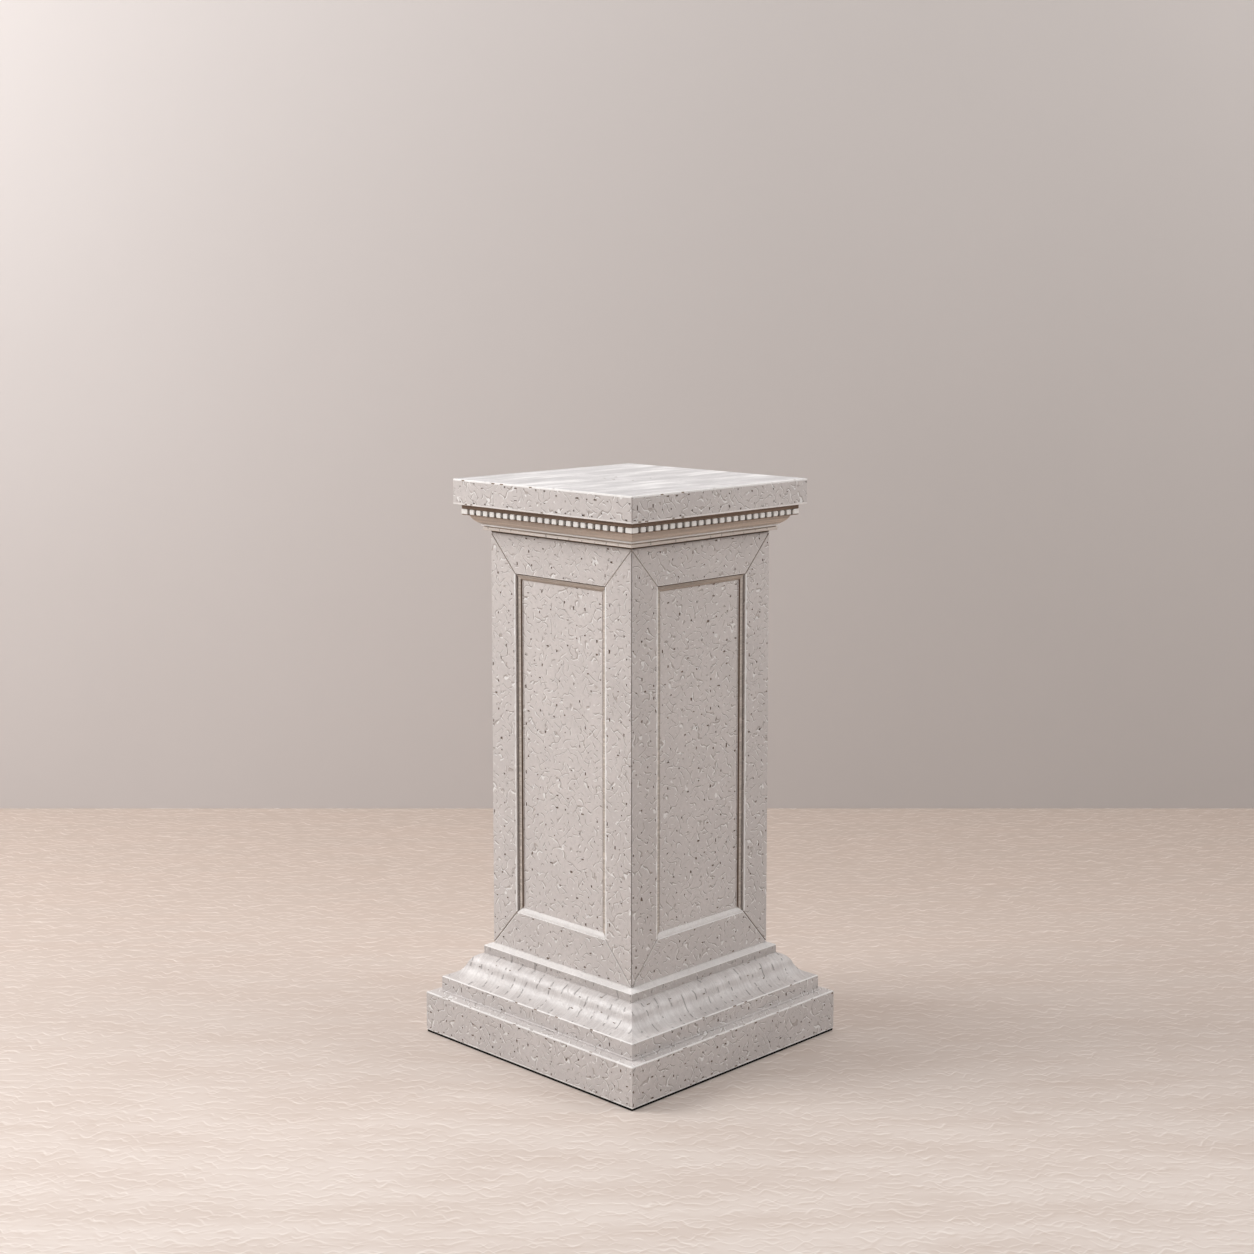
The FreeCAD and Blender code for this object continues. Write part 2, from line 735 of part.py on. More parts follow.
def check(nodes):
    for item in doc.Objects:
        if "Invalid" in item.State or "Error" in item.State:
            raise RuntimeError(f"{item.Label} is {item.State}")
    for node in nodes:
        if node.Shape.isNull() or not node.Shape.isValid() or not node.Shape.Solids:
            raise RuntimeError(f"{node.Label} has no valid solid")


def export(nodes):
    os.makedirs("parts", exist_ok=True)
    for node in nodes:
        node.Shape.exportStep(f"parts/{node.Label}.step")


pieces = build()
doc.recompute()
check(pieces)
export(pieces)
stand_box = Part.makeCompound([piece.Shape for piece in pieces]).BoundBox
solids = sum(len(piece.Shape.Solids) for piece in pieces)
print(f"{len(pieces)} nodes, {solids} solids")
print(f"{stand_box.XLength:.1f} x {stand_box.YLength:.1f} x {stand_box.ZLength:.1f} mm")
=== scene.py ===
# %% [markdown]
# # A panelled pedestal in cast stone, dressed in Blender
#
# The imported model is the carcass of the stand: every board, moulding and screw is already there as a
# plain solid. This file gives it the look of the real thing. First the model is loaded and measured,
# then come the camera, the room and the lamps, then the stone itself, and then the pieces that a plain
# solid can't show, such as softened arrises, pits and the open mitres.

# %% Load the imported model
import json
import math
import random

import bmesh
import bpy
from mathutils import Matrix, Vector


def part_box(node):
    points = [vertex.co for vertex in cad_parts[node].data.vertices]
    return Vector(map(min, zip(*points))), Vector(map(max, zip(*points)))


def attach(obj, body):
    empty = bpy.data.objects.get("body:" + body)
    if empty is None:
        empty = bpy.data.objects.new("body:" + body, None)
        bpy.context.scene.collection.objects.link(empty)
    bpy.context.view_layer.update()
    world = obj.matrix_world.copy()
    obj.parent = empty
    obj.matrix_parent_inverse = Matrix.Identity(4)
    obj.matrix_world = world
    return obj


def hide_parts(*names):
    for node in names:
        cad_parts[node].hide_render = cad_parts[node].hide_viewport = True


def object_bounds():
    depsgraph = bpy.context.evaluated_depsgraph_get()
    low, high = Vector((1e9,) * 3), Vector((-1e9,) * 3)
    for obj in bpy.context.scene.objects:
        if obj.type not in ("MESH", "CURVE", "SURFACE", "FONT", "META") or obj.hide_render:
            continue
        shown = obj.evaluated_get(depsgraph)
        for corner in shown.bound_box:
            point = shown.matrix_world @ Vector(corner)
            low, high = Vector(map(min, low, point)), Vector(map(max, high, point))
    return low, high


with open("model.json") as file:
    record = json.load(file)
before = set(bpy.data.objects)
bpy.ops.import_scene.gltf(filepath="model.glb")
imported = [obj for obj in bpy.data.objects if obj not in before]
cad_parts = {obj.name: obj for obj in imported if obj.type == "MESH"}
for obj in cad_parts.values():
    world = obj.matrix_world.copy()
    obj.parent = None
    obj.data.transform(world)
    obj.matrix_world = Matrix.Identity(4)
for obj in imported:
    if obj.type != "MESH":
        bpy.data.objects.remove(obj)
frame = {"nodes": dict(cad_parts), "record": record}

nodes = frame["nodes"]
cad_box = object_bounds()
stand_low, stand_high = cad_box
print("pieces in the model:", len(nodes), "height:", round(stand_high.z - stand_low.z, 3), "m")

# %% [markdown]
# ## The camera
#
# The photograph looks across the front corner, from a little above the cap. A camera that looks down
# shows the upright lines leaning towards each other, and a lens that is shifted instead keeps them
# upright. The real picture is mostly shifted. Here a small shift and a small tilt share the work, so
# that the stand also stays in the picture when the camera walks round it.

# %% Place the camera
CAMERA_DISTANCE = 3.5858
CAMERA_HEIGHT = 1.3354
CAMERA_AZIMUTH = math.radians(44.486)
CAMERA_HEADING = math.radians(44.578)
CAMERA_TILT = math.radians(5.991)

camera_data = bpy.data.cameras.new("camera")
camera_data.lens = 58.990
camera_data.sensor_width = 36.0
camera_data.shift_y = -0.10
camera = bpy.data.objects.new("camera", camera_data)
bpy.context.scene.collection.objects.link(camera)
around = (math.sin(CAMERA_AZIMUTH), -math.cos(CAMERA_AZIMUTH))
camera.location = (CAMERA_DISTANCE * around[0], CAMERA_DISTANCE * around[1], CAMERA_HEIGHT)
camera.rotation_euler = (math.pi / 2 - CAMERA_TILT, 0, CAMERA_HEADING)
bpy.context.scene.camera = camera
print("camera at", tuple(round(c, 3) for c in camera.location))

# %% [markdown]
# ## Materials as small recipes
#
# A material in Blender is a graph of nodes. Written out one by one they hide the idea, so a few short
# helpers stand for the nodes that every stone needs: a noise, a cell pattern, a curve that turns a
# pattern into a mask, and a mix of two colours. All patterns read Object coordinates, in metres, so a
# scale of 100 means a feature of about a centimetre on every piece.

# %% Helpers that add nodes
# Every finish by its name. The model's own plain materials already have some of these names in the file.
looks = {}


class Recipe:
    """One material's node graph, with the object's own coordinates as its start."""

    def __init__(self, name, colour, roughness, shine=0.5):
        self.material = looks[name] = bpy.data.materials.new(name)
        self.material.use_nodes = True
        self.tree = self.material.node_tree
        self.shader = self.tree.nodes["Principled BSDF"]
        self.shader.inputs["Base Color"].default_value = (*colour, 1.0)
        self.shader.inputs["Roughness"].default_value = roughness
        self.shader.inputs["Specular IOR Level"].default_value = shine
        self.material.diffuse_color = (*colour, 1.0)
        self.place = self.tree.nodes.new("ShaderNodeTexCoord").outputs["Object"]

    def node(self, kind, settings=None, **links):
        """A node with its settings, each named input given a number, a colour or another node's output."""
        made = self.tree.nodes.new(kind)
        for key, value in (settings or {}).items():
            setattr(made, key, value)
        for key, value in links.items():
            self.feed(made.inputs[key.replace("_", " ")], value)
        return made

    def feed(self, socket, value):
        """Links an output to a socket, or writes a plain value on it."""
        if isinstance(value, bpy.types.NodeSocket):
            self.tree.links.new(value, socket)
        else:
            socket.default_value = value

    def moved(self, offset, stretch=(1, 1, 1), turn=(0, 0, 0)):
        """The coordinates shifted, turned and stretched, so that two patterns don't coincide."""
        made = self.node("ShaderNodeMapping", Vector=self.place, Location=offset, Rotation=turn, Scale=stretch)
        return made.outputs["Vector"]

    def noise(self, scale, detail=2.0, roughness=0.5, place=None):
        made = self.node("ShaderNodeTexNoise", Vector=place or self.place, Scale=scale, Detail=detail,
                         Roughness=roughness)
        return made.outputs["Fac"]

    def math(self, operation, *values, kind="ShaderNodeMath", output=0):
        made = self.node(kind, {"operation": operation})
        for socket, value in zip(made.inputs, values):
            self.feed(socket, value)
        return made.outputs[output]

    def times(self, a, b):
        return self.math("MULTIPLY", a, b)

    def vector(self, operation, *values, output=0):
        return self.math(operation, *values, kind="ShaderNodeVectorMath", output=output)

    def mask(self, value, start, end, low=0.0, high=1.0):
        """A smooth step from low to high as the value goes from start to end."""
        made = self.node("ShaderNodeMapRange", {"interpolation_type": "SMOOTHSTEP"}, Value=value,
                         From_Min=start, From_Max=end, To_Min=low, To_Max=high)
        return made.outputs[0]

    def mix(self, amount, first, second):
        made = self.node("ShaderNodeMix", {"data_type": "RGBA"})
        self.feed(made.inputs[0], amount)
        for socket, value in ((made.inputs[6], first), (made.inputs[7], second)):
            if not isinstance(value, bpy.types.NodeSocket):
                value = (*value, 1.0)
            self.feed(socket, value)
        return made.outputs[2]

    def warped(self, amount, scale, place=None):
        """Coordinates pushed about by a noise, which bends straight lines."""
        place = place or self.place
        push = self.node("ShaderNodeTexNoise", Vector=place, Scale=scale, Detail=1.0)
        centred = self.vector("SUBTRACT", push.outputs["Color"], (0.5, 0.5, 0.5))
        return self.vector("MULTIPLY_ADD", centred, (amount, amount, amount), place)

    def line(self, count, level, inner, outer):
        """A soft line wherever a growing count passes a level between two whole numbers."""
        away = self.math("ABSOLUTE", self.math("SUBTRACT", self.math("FRACT", count), level))
        return self.mask(away, inner, outer, 1.0, 0.0)

    def cells(self, scale, place):
        """A cell pattern: the distance, and one random number for each cell."""
        made = self.node("ShaderNodeTexVoronoi", Vector=place, Scale=scale)
        lot = self.node("ShaderNodeSeparateColor", Color=made.outputs["Color"])
        return made.outputs["Distance"], lot.outputs[0]

    def finish(self, colour, height, relief, roughness=None):
        """Joins the colour, the relief in metres and the roughness to the shader."""
        self.feed(self.shader.inputs["Base Color"], colour)
        if roughness is not None:
            self.feed(self.shader.inputs["Roughness"], roughness)
        bump = self.node("ShaderNodeBump", Height=height, Distance=relief)
        self.feed(self.shader.inputs["Normal"], bump.outputs["Normal"])
        return self.material


print("recipe helpers ready")

# %% [markdown]
# ## The cast stone
#
# The stand is faced in a fine reconstituted stone. It is pale and warm grey, with a faint clouding, a
# sandy grain, short curled marks that the binder left as it set, white flecks of crushed marble, and dark
# pin holes where air was trapped. Each curled mark is a sunk line, painted dark as painted shade, with a
# pale line beside it that is a painted highlight. The pin holes are painted dark, partly dirt and partly
# painted shade. Each of these is one pattern, and the stone is their sum. The larger holes are cut into
# the pieces themselves further down, because a real hole keeps its shadow.

# %% The marks in the stone
STONE = (0.612, 0.568, 0.549)
MARBLE = (0.90, 0.885, 0.87)
# Painted shade: the dark colour of the curled marks' sunk lines.
MARK_PAINTED_SHADE = (0.33, 0.27, 0.235)
# The pin holes' dark colour: partly dirt, partly painted shade.
HOLE_DIRT_AND_SHADE = (0.20, 0.150, 0.115)


def shade(colour, amount):
    """The same colour, lighter or darker."""
    return tuple(min(c * amount, 0.95) for c in colour)


def short_marks(r, spacing, width, centre, gate):
    """Short bent strokes: bits of wavy rings about a far centre. Gives a sunk line and a pale line beside it,
    which is the same line again, moved by about its own width. Only the sunk line goes into the relief. Its
    dark colour is painted shade, and the pale line is a painted highlight only."""
    start = r.moved(centre)
    kept = r.mask(r.noise(gate, 1.0, place=start), 0.515, 0.545)
    ring = r.vector("LENGTH", r.warped(0.036, 36.0, start), output="Value")
    share = width / spacing
    lines = []
    for aside in (0.0, share):
        count = r.math("MULTIPLY_ADD", ring, 1 / spacing, aside)
        lines.append(r.times(r.line(count, 0.5, 0.35 * share, 0.75 * share), kept))
    return lines


# The rings' spacing and the strokes' width in metres, the rings' centre, and how fine the breaks are.
MARK_LAYERS = ((0.011, 0.0013, (3.0, 3.1, 3.4), 85.0), (0.013, 0.0012, (-3.1, -2.9, 3.3), 95.0))


def stone(name, colour, roughness, holes=1.0, marks=1.0, run=None, shine=0.5):
    """The cast stone. holes and marks say how many it shows, and run lays streaks over it."""
    r = Recipe(name, colour, roughness, shine)
    cloud = r.noise(9.0, 4.0, 0.55)
    mottle = r.noise(150.0, 3.0, 0.6)
    grain = r.noise(700.0, 2.0, 0.7)
    tint = r.mix(r.mask(cloud, 0.3, 0.7), shade(colour, 0.95), shade(colour, 1.05))
    tint = r.mix(r.mask(mottle, 0.38, 0.66, 0.0, 0.5), tint, shade(colour, 0.88))
    tint = r.mix(r.mask(grain, 0.45, 0.7, 0.0, 0.35), tint, shade(colour, 1.22))
    height = r.math("MULTIPLY_ADD", grain, 0.10, r.times(mottle, 0.30))

    if marks:
        for layer in MARK_LAYERS:
            sunk, painted_highlight = short_marks(r, *layer)
            # The pale line is a painted highlight beside the mark, and the sunk line's dark colour is painted
            # shade.
            tint = r.mix(r.times(painted_highlight, 0.72 * marks), tint, MARBLE)
            tint = r.mix(r.times(sunk, 0.45 * marks), tint, MARK_PAINTED_SHADE)
            height = r.math("MULTIPLY_ADD", sunk, -1.1 * marks, height)
    if holes:
        point, lot = r.cells(90.0, r.moved((1.3, 2.9, 0.7)))
        fleck = r.times(r.mask(point, 0.07, 0.14, 1.0, 0.0), r.mask(lot, 0.84, 0.86))
        tint = r.mix(r.times(fleck, 0.9), tint, MARBLE)
        point, lot = r.cells(75.0, r.moved((0.2, 0.9, 3.7)))
        holed = r.mask(lot, 1.0 - 0.22 * holes, 1.01 - 0.22 * holes)
        hole = r.times(r.mask(point, 0.06, 0.11, 1.0, 0.0), holed)
        # The pin holes are painted dark: partly dirt, partly painted shade.
        tint = r.mix(r.times(hole, 0.8), tint, HOLE_DIRT_AND_SHADE)
        height = r.math("MULTIPLY_ADD", hole, -2.0, height)
    if run:
        tint, height = run(r, colour, tint, height)
    gloss = r.mask(mottle, 0.3, 0.7, roughness - 0.06, roughness + 0.08)
    return r.finish(tint, height, 0.0007, gloss)


# %% [markdown]
# Some pieces show the tool that ran over them. The base mouldings are brushed across their length, and
# thin dark marks cross them where the boards of the mould met. The browner mouldings carry fine lines
# along their length. The top of the slab was rubbed in wide strokes. Each is a noise squeezed in
# one direction, laid over the plain stone.

# %% Streaks that follow a piece
def lengthwise(r):
    """The distance along a side of the stand, the height and the depth, whichever side it is."""
    x, y, z = r.node("ShaderNodeSeparateXYZ", Vector=r.place).outputs
    on_x = r.math("GREATER_THAN", r.math("ABSOLUTE", x), r.math("ABSOLUTE", y))
    on_y = r.math("SUBTRACT", 1.0, on_x)
    along = r.math("ADD", r.times(y, on_x), r.times(x, on_y))
    depth = r.math("ADD", r.times(x, on_x), r.times(y, on_y))
    return along, z, depth


def squeezed(r, along_scale, height_scale, depth_scale, shift):
    """The same three, each with its own scale, so that a noise on them becomes streaks."""
    along, height, depth = lengthwise(r)
    three = r.node("ShaderNodeCombineXYZ", X=r.math("MULTIPLY_ADD", along, along_scale, shift),
                   Y=r.times(height, height_scale), Z=r.times(depth, depth_scale))
    return three.outputs[0]


def mould_marks(r, colour, tint, height):
    """Thin dark marks across the run, a few centimetres apart, where the boards of the mould met."""
    wander = r.noise(30.0, 2.0, 0.6)
    count = r.math("MULTIPLY_ADD", lengthwise(r)[0], 34.0, r.times(wander, 0.5))
    kept = r.mask(r.noise(1.0, 0.0, place=squeezed(r, 34.0, 115.0, 115.0, 5.0)), 0.50, 0.56)
    mark = r.times(r.line(count, 0.5, 0.025, 0.055), kept)
    tint = r.mix(r.times(mark, 0.66), tint, shade(colour, 0.42))
    return tint, r.math("MULTIPLY_ADD", mark, -1.2, height)


def across_the_run(r, colour, tint, height):
    """Soft brushed bands across the run, with finer strokes in them, and the mould marks."""
    soft = r.noise(1.0, 1.0, 0.5, r.warped(0.5, 0.4, squeezed(r, 42.0, 14.0, 14.0, 3.0)))
    fine = r.noise(1.0, 2.0, 0.6, r.warped(0.9, 0.3, squeezed(r, 330.0, 26.0, 26.0, 1.0)))
    tint = r.mix(r.mask(soft, 0.36, 0.60, 0.22, 0.0), tint, shade(colour, 0.80))
    tint = r.mix(r.mask(soft, 0.50, 0.70, 0.0, 0.16), tint, MARBLE)
    tint = r.mix(r.mask(fine, 0.48, 0.68, 0.0, 0.17), tint, MARBLE)
    tint = r.mix(r.mask(fine, 0.34, 0.48, 0.18, 0.0), tint, shade(colour, 0.70))
    height = r.math("MULTIPLY_ADD", fine, 0.22, r.math("MULTIPLY_ADD", soft, 0.12, height))
    return mould_marks(r, colour, tint, height)


def along_the_run(r, colour, tint, height):
    """Fine lines along the run, as a scraper leaves them."""
    line = r.noise(1.0, 3.0, 0.6, squeezed(r, 5.0, 330.0, 330.0, 7.0))
    tint = r.mix(r.mask(line, 0.38, 0.56, 0.45, 0.0), tint, shade(colour, 0.62))
    tint = r.mix(r.mask(line, 0.52, 0.68, 0.0, 0.30), tint, shade(colour, 1.7))
    return tint, r.math("MULTIPLY_ADD", line, 0.5, height)


def neck_run(r, colour, tint, height):
    """Both the fine lines and the mould marks."""
    return mould_marks(r, colour, *along_the_run(r, colour, tint, height))


def rubbed_one_way(r, colour, tint, height):
    """Wide soft strokes along one side of the slab."""
    stroke = r.noise(1.0, 3.0, 0.6, r.warped(1.2, 0.35, r.moved((0, 0, 0), (34.0, 6.0, 1.0), (0, 0, 0.25))))
    tint = r.mix(r.mask(stroke, 0.34, 0.56, 0.85, 0.0), tint, shade(colour, 0.78))
    tint = r.mix(r.mask(stroke, 0.50, 0.70, 0.0, 0.45), tint, MARBLE)
    return tint, height


# %% [markdown]
# Each stone is the same recipe with its own colour, roughness, holes, marks, streaks and shine. The dark
# ones are dull, because a groove shouldn't glint. Several of them are painted light and shade: the pale
# finishes of faces that look up and of the lit strips are painted light and painted highlight, and the
# dark finishes of gaps, mitres and the strip under the slab are painted shade. The browns are partly their
# own tone and partly painted shade.

# %% The stones
for name, *look in (
    ("cast_stone", STONE, 0.62),
    ("panel_stone", shade(STONE, 1.045), 0.62),
    ("run_stone", shade(STONE, 1.0), 0.36, 0.25, 0.2, across_the_run),
    ("fillet_stone", shade(STONE, 0.86), 0.55, 0.5, 0.4, mould_marks),
    ("rubbed_stone", (0.568, 0.549, 0.548), 0.62, 0.0, 0.0, rubbed_one_way, 0.22),
    # Pale finish of faces that look up, the sill and the fillet's top: painted light.
    ("sill_stone", (0.77, 0.735, 0.715), 0.6, 0.0, 0.2),
    # Pale finish of the lit strips and the capital's lip: a painted highlight.
    ("lip_stone", (0.94, 0.92, 0.90), 0.5, 0.0, 0.0),
    # Pale finish of the arrises: partly wear, partly painted highlight.
    ("worn_stone", (0.86, 0.83, 0.81), 0.6, 0.3, 0.0),
    ("moulding_stone", (0.41, 0.335, 0.280), 0.5, 0.0, 0.15, along_the_run),
    ("capital_stone", (0.57, 0.478, 0.408), 0.5, 0.0, 0.15, along_the_run),
    ("bead_stone", (0.55, 0.490, 0.440), 0.5, 0.0, 0.15, along_the_run),
    ("neck_stone", (0.79, 0.72, 0.66), 0.5, 0.0, 0.2, neck_run),
    # Dark brown finish of the strip under the slab: painted shade.
    ("shaded_moulding", (0.25, 0.182, 0.14), 0.6, 0.0, 0.0, along_the_run, 0.1),
    # Dark finish of the pits and chips, partly dirt and partly painted shade, and of the mouldings' grooves,
    # painted shade.
    ("pit_stone", (0.27, 0.205, 0.160), 0.9, 0.0, 0.0, None, 0.1),
    # Darkest finish of the gap under the neck and the dentils' channel: painted shade.
    ("gap_stone", (0.13, 0.088, 0.060), 0.9, 0.0, 0.0, None, 0.1),
    ("white_stone", (0.88, 0.86, 0.83), 0.5, 0.0, 0.0),
    # Dark finish of the stile's side of the mitres: painted shade.
    ("mitre_stone", (0.40, 0.345, 0.305), 0.8, 0.0, 0.0, None, 0.1),
):
    stone(name, *look)
print("stones:", sorted(looks))

# %% [markdown]
# The carcass isn't seen, but it is in the model, and so it gets plain woods and metals.

# %% Plain finishes of the hidden pieces
def wood(name, pale, dark, rings):
    r = Recipe(name, pale, 0.6)
    grain = r.noise(rings, 4.0, 0.6, place=r.moved((0, 0, 0), (1.0, 1.0, 0.06)))
    fine = r.noise(rings * 9, 2.0, 0.6, place=r.moved((2, 1, 0), (1.0, 1.0, 0.03)))
    tint = r.mix(r.mask(grain, 0.35, 0.65), pale, dark)
    tint = r.mix(r.mask(fine, 0.5, 0.7, 0.0, 0.4), tint, shade(dark, 0.7))
    return r.finish(tint, r.math("ADD", grain, fine), 0.0003)


def metal(name, colour, roughness):
    r = Recipe(name, colour, roughness)
    r.shader.inputs["Metallic"].default_value = 1.0
    wear = r.noise(300.0, 4.0, 0.6)
    tint = r.mix(r.mask(wear, 0.4, 0.7), colour, shade(colour, 0.7))
    return r.finish(tint, wear, 0.0001, r.mask(wear, 0.3, 0.7, roughness - 0.08, roughness + 0.15))


def rubber(name, colour):
    r = Recipe(name, colour, 0.85, 0.1)
    dust = r.noise(220.0, 5.0, 0.65)
    tint = r.mix(r.mask(dust, 0.45, 0.75, 0.0, 0.3), colour, (0.055, 0.045, 0.038))
    return r.finish(tint, dust, 0.0004)


rubber("foot_rubber", (0.012, 0.011, 0.010))
wood("plywood", (0.52, 0.36, 0.20), (0.38, 0.24, 0.12), 60.0)
wood("batten_wood", (0.60, 0.44, 0.27), (0.46, 0.31, 0.17), 45.0)
metal("zinc_steel", (0.62, 0.63, 0.64), 0.35)
metal("insert_brass", (0.72, 0.53, 0.25), 0.3)
slot_of = {part["node"]: part["material_slot"] for part in frame["record"]["subparts"]}
for name, node in nodes.items():
    for place in node.material_slots:
        place.material = looks[slot_of[name]]
print("finishes on", len(nodes), "pieces:", sorted(set(slot_of.values())))

# %% [markdown]
# ## Working a piece by hand
#
# Every visible piece of the stand starts as a block or a strip of its real size. It is then sawn, eased
# along its arrises, cut over with a net of fine cuts and pitted, in the order a mason would work. The
# helpers below are those strokes. Faces and edges are picked in code by where they are and which way
# they look, because there is no mouse here.

# %% Helpers that open and pick
FIELD, ARRIS, PIT, OWN, SECOND = range(5)
SAME = 1e-5
SIDES = ("front", "right", "back", "left")


def close_editing():
    if bpy.context.object and bpy.context.object.mode == "EDIT":
        bpy.ops.object.mode_set(mode="OBJECT")
    bpy.ops.object.select_all(action="DESELECT")


def take(*pieces):
    """Selects whole pieces in object mode, the first of them as the active one."""
    close_editing()
    for piece in pieces:
        piece.select_set(True)
    bpy.context.view_layer.objects.active = pieces[0]


def edit(piece):
    """Opens one piece alone in edit mode."""
    take(piece)
    bpy.ops.object.mode_set(mode="EDIT")


def choose(piece, kind, wanted):
    """Selects the VERT, EDGE or FACE elements that pass a test, and counts them."""
    bpy.ops.mesh.select_mode(type=kind)
    bpy.ops.mesh.select_all(action="DESELECT")
    mesh = bmesh.from_edit_mesh(piece.data)
    elements = {"VERT": mesh.verts, "EDGE": mesh.edges, "FACE": mesh.faces}[kind]
    chosen = [e for e in elements if wanted(e)]
    for e in chosen:
        e.select_set(True)
    mesh.select_flush_mode()
    bmesh.update_edit_mesh(piece.data)
    return len(chosen)


def assign(piece, slot):
    """Gives the selected faces one of the piece's finishes."""
    piece.active_material_index = slot
    bpy.ops.object.material_slot_assign()


def paint(piece, slot, wanted):
    """Gives the faces that pass a test one of the piece's finishes."""
    choose(piece, "FACE", wanted)
    assign(piece, slot)


def on_level(e, axis, level):
    """True if every corner of an edge or a face lies at that level of the axis."""
    return all(abs(v.co[axis] - level) < SAME for v in e.verts)


def middle(f):
    """The place of a face's middle."""
    return f.calc_center_median()


def spot(f):
    """A face's place, rounded so that it can be found again after other faces have changed."""
    return tuple(round(c, 5) for c in middle(f))


# %% Helpers that start, saw and cut
TURN_STEP, SPARE, NET = 0.13, 0.01, 0.0072


def block(name, low, high):
    """A block between two corners, opened in edit mode."""
    close_editing()
    low, high = Vector(low), Vector(high)
    bpy.ops.mesh.primitive_cube_add(size=1, location=(low + high) / 2, scale=high - low)
    piece = bpy.context.object
    piece.name = piece.data.name = name
    bpy.ops.object.transform_apply(location=True, rotation=True, scale=True)
    edit(piece)
    return piece


def run(name, half, start, steps):
    """A moulding along X, drawn as a joiner draws its section: one edge is drawn out step by step.

    A step is (y, z), or (y, z, radius, side) for a curve that bulges to the right (1) or the left (-1).
    """
    close_editing()
    y, z = steps[0]
    centre = (0, (start[0] + y) / 2, z)
    bpy.ops.mesh.primitive_plane_add(size=1)
    piece = bpy.context.object
    piece.name = piece.data.name = name
    edit(piece)
    bpy.ops.mesh.select_all(action="SELECT")
    bpy.ops.transform.resize(value=(2 * half, abs(y - start[0]), 1), center_override=(0, 0, 0))
    bpy.ops.transform.translate(value=centre)
    choose(piece, "EDGE", lambda e: on_level(e, 1, y))
    for next_y, next_z, *curve in [*steps[1:], start]:
        if curve:
            radius, side = curve
            across, up = next_y - y, next_z - z
            chord = math.hypot(across, up)
            aside = side * math.sqrt(radius ** 2 - (chord / 2) ** 2) / chord
            centre = (0, (y + next_y) / 2 - up * aside, (z + next_z) / 2 + across * aside)
            turn = -2 * math.asin(chord / 2 / radius) * side
            bpy.ops.mesh.spin(steps=max(3, round(abs(turn) / TURN_STEP)), angle=turn, center=centre, axis=(1, 0, 0))
        else:
            bpy.ops.mesh.extrude_edges_move(TRANSFORM_OT_translate={"value": (0, next_y - y, next_z - z)})
        y, z = next_y, next_z
    bpy.ops.mesh.select_all(action="SELECT")
    bpy.ops.mesh.remove_doubles(threshold=SAME)
    bpy.ops.mesh.normals_make_consistent(inside=False)
    return piece


def saw(point, away):
    """Cuts off all that lies on the side the second vector points to, and closes the cut."""
    bpy.ops.mesh.select_mode(type="FACE")
    bpy.ops.mesh.select_all(action="SELECT")
    bpy.ops.mesh.bisect(plane_co=point, plane_no=away, use_fill=True, clear_outer=True)


def mitre(low):
    """Saws both ends at 45 degrees in plan, from the outer corner inward."""
    for end in (-1, 1):
        saw((-end * low.x, low.y, 0), (end, 1, 0))


def score_at(axis, level):
    """One cut across an axis at a given level."""
    point, away = [0, 0, 0], [0, 0, 0]
    point[axis], away[axis] = level, 1
    bpy.ops.mesh.select_all(action="SELECT")
    bpy.ops.mesh.bisect(plane_co=point, plane_no=away)


def score(axis, start, stop, step, lot):
    """Lays a row of cuts across one axis, a little unevenly, so that no net shows in the stone."""
    count = max(1, round((stop - start) / step))
    for i in range(1, count):
        score_at(axis, start + (stop - start) * (i + lot.uniform(-0.22, 0.22)) / count)


def net(name, across, up):
    """Cuts a face over, along X and along Z."""
    lot = random.Random(name)
    score(0, *across, NET, lot)
    score(2, *up, NET, lot)


def plain(piece, wanted):
    """Takes the cuts out of unseen flat faces again."""
    if choose(piece, "FACE", wanted):
        bpy.ops.mesh.dissolve_limited(angle_limit=0.01)


# %% Helpers that wear and finish
LOOSE, CHIP_RIM, CHIP_DEEP, LARGEST_MOUTH = 0.0016, 0.0002, 0.0006, 5e-5
SMOOTH_BELOW = math.radians(24)


def ease(piece, wanted, width, segments=1):
    """Takes the sharpness off the chosen edges. The new strips get the pale finish, partly wear and partly
    painted highlight.
    """
    choose(piece, "EDGE", wanted)
    bpy.ops.mesh.bevel(offset=width, segments=segments, affect="EDGES", material=ARRIS)


def loosen(piece, axis, level, lot):
    """Shifts the crossings of the net about within one flat face."""
    def inside(v):
        flat = all(abs(f.normal[axis]) > 0.999 for f in v.link_faces)
        return flat and abs(v.co[axis] - level) < SAME and len(v.link_edges) == 4

    seed = lot.randrange(999)
    if choose(piece, "VERT", inside):
        bpy.ops.transform.vertex_random(offset=LOOSE, uniform=0.4, normal=0.0, seed=seed)
        flat, centre = [1, 1, 1], [0, 0, 0]
        flat[axis], centre[axis] = 0, level
        bpy.ops.transform.resize(value=flat, center_override=centre)


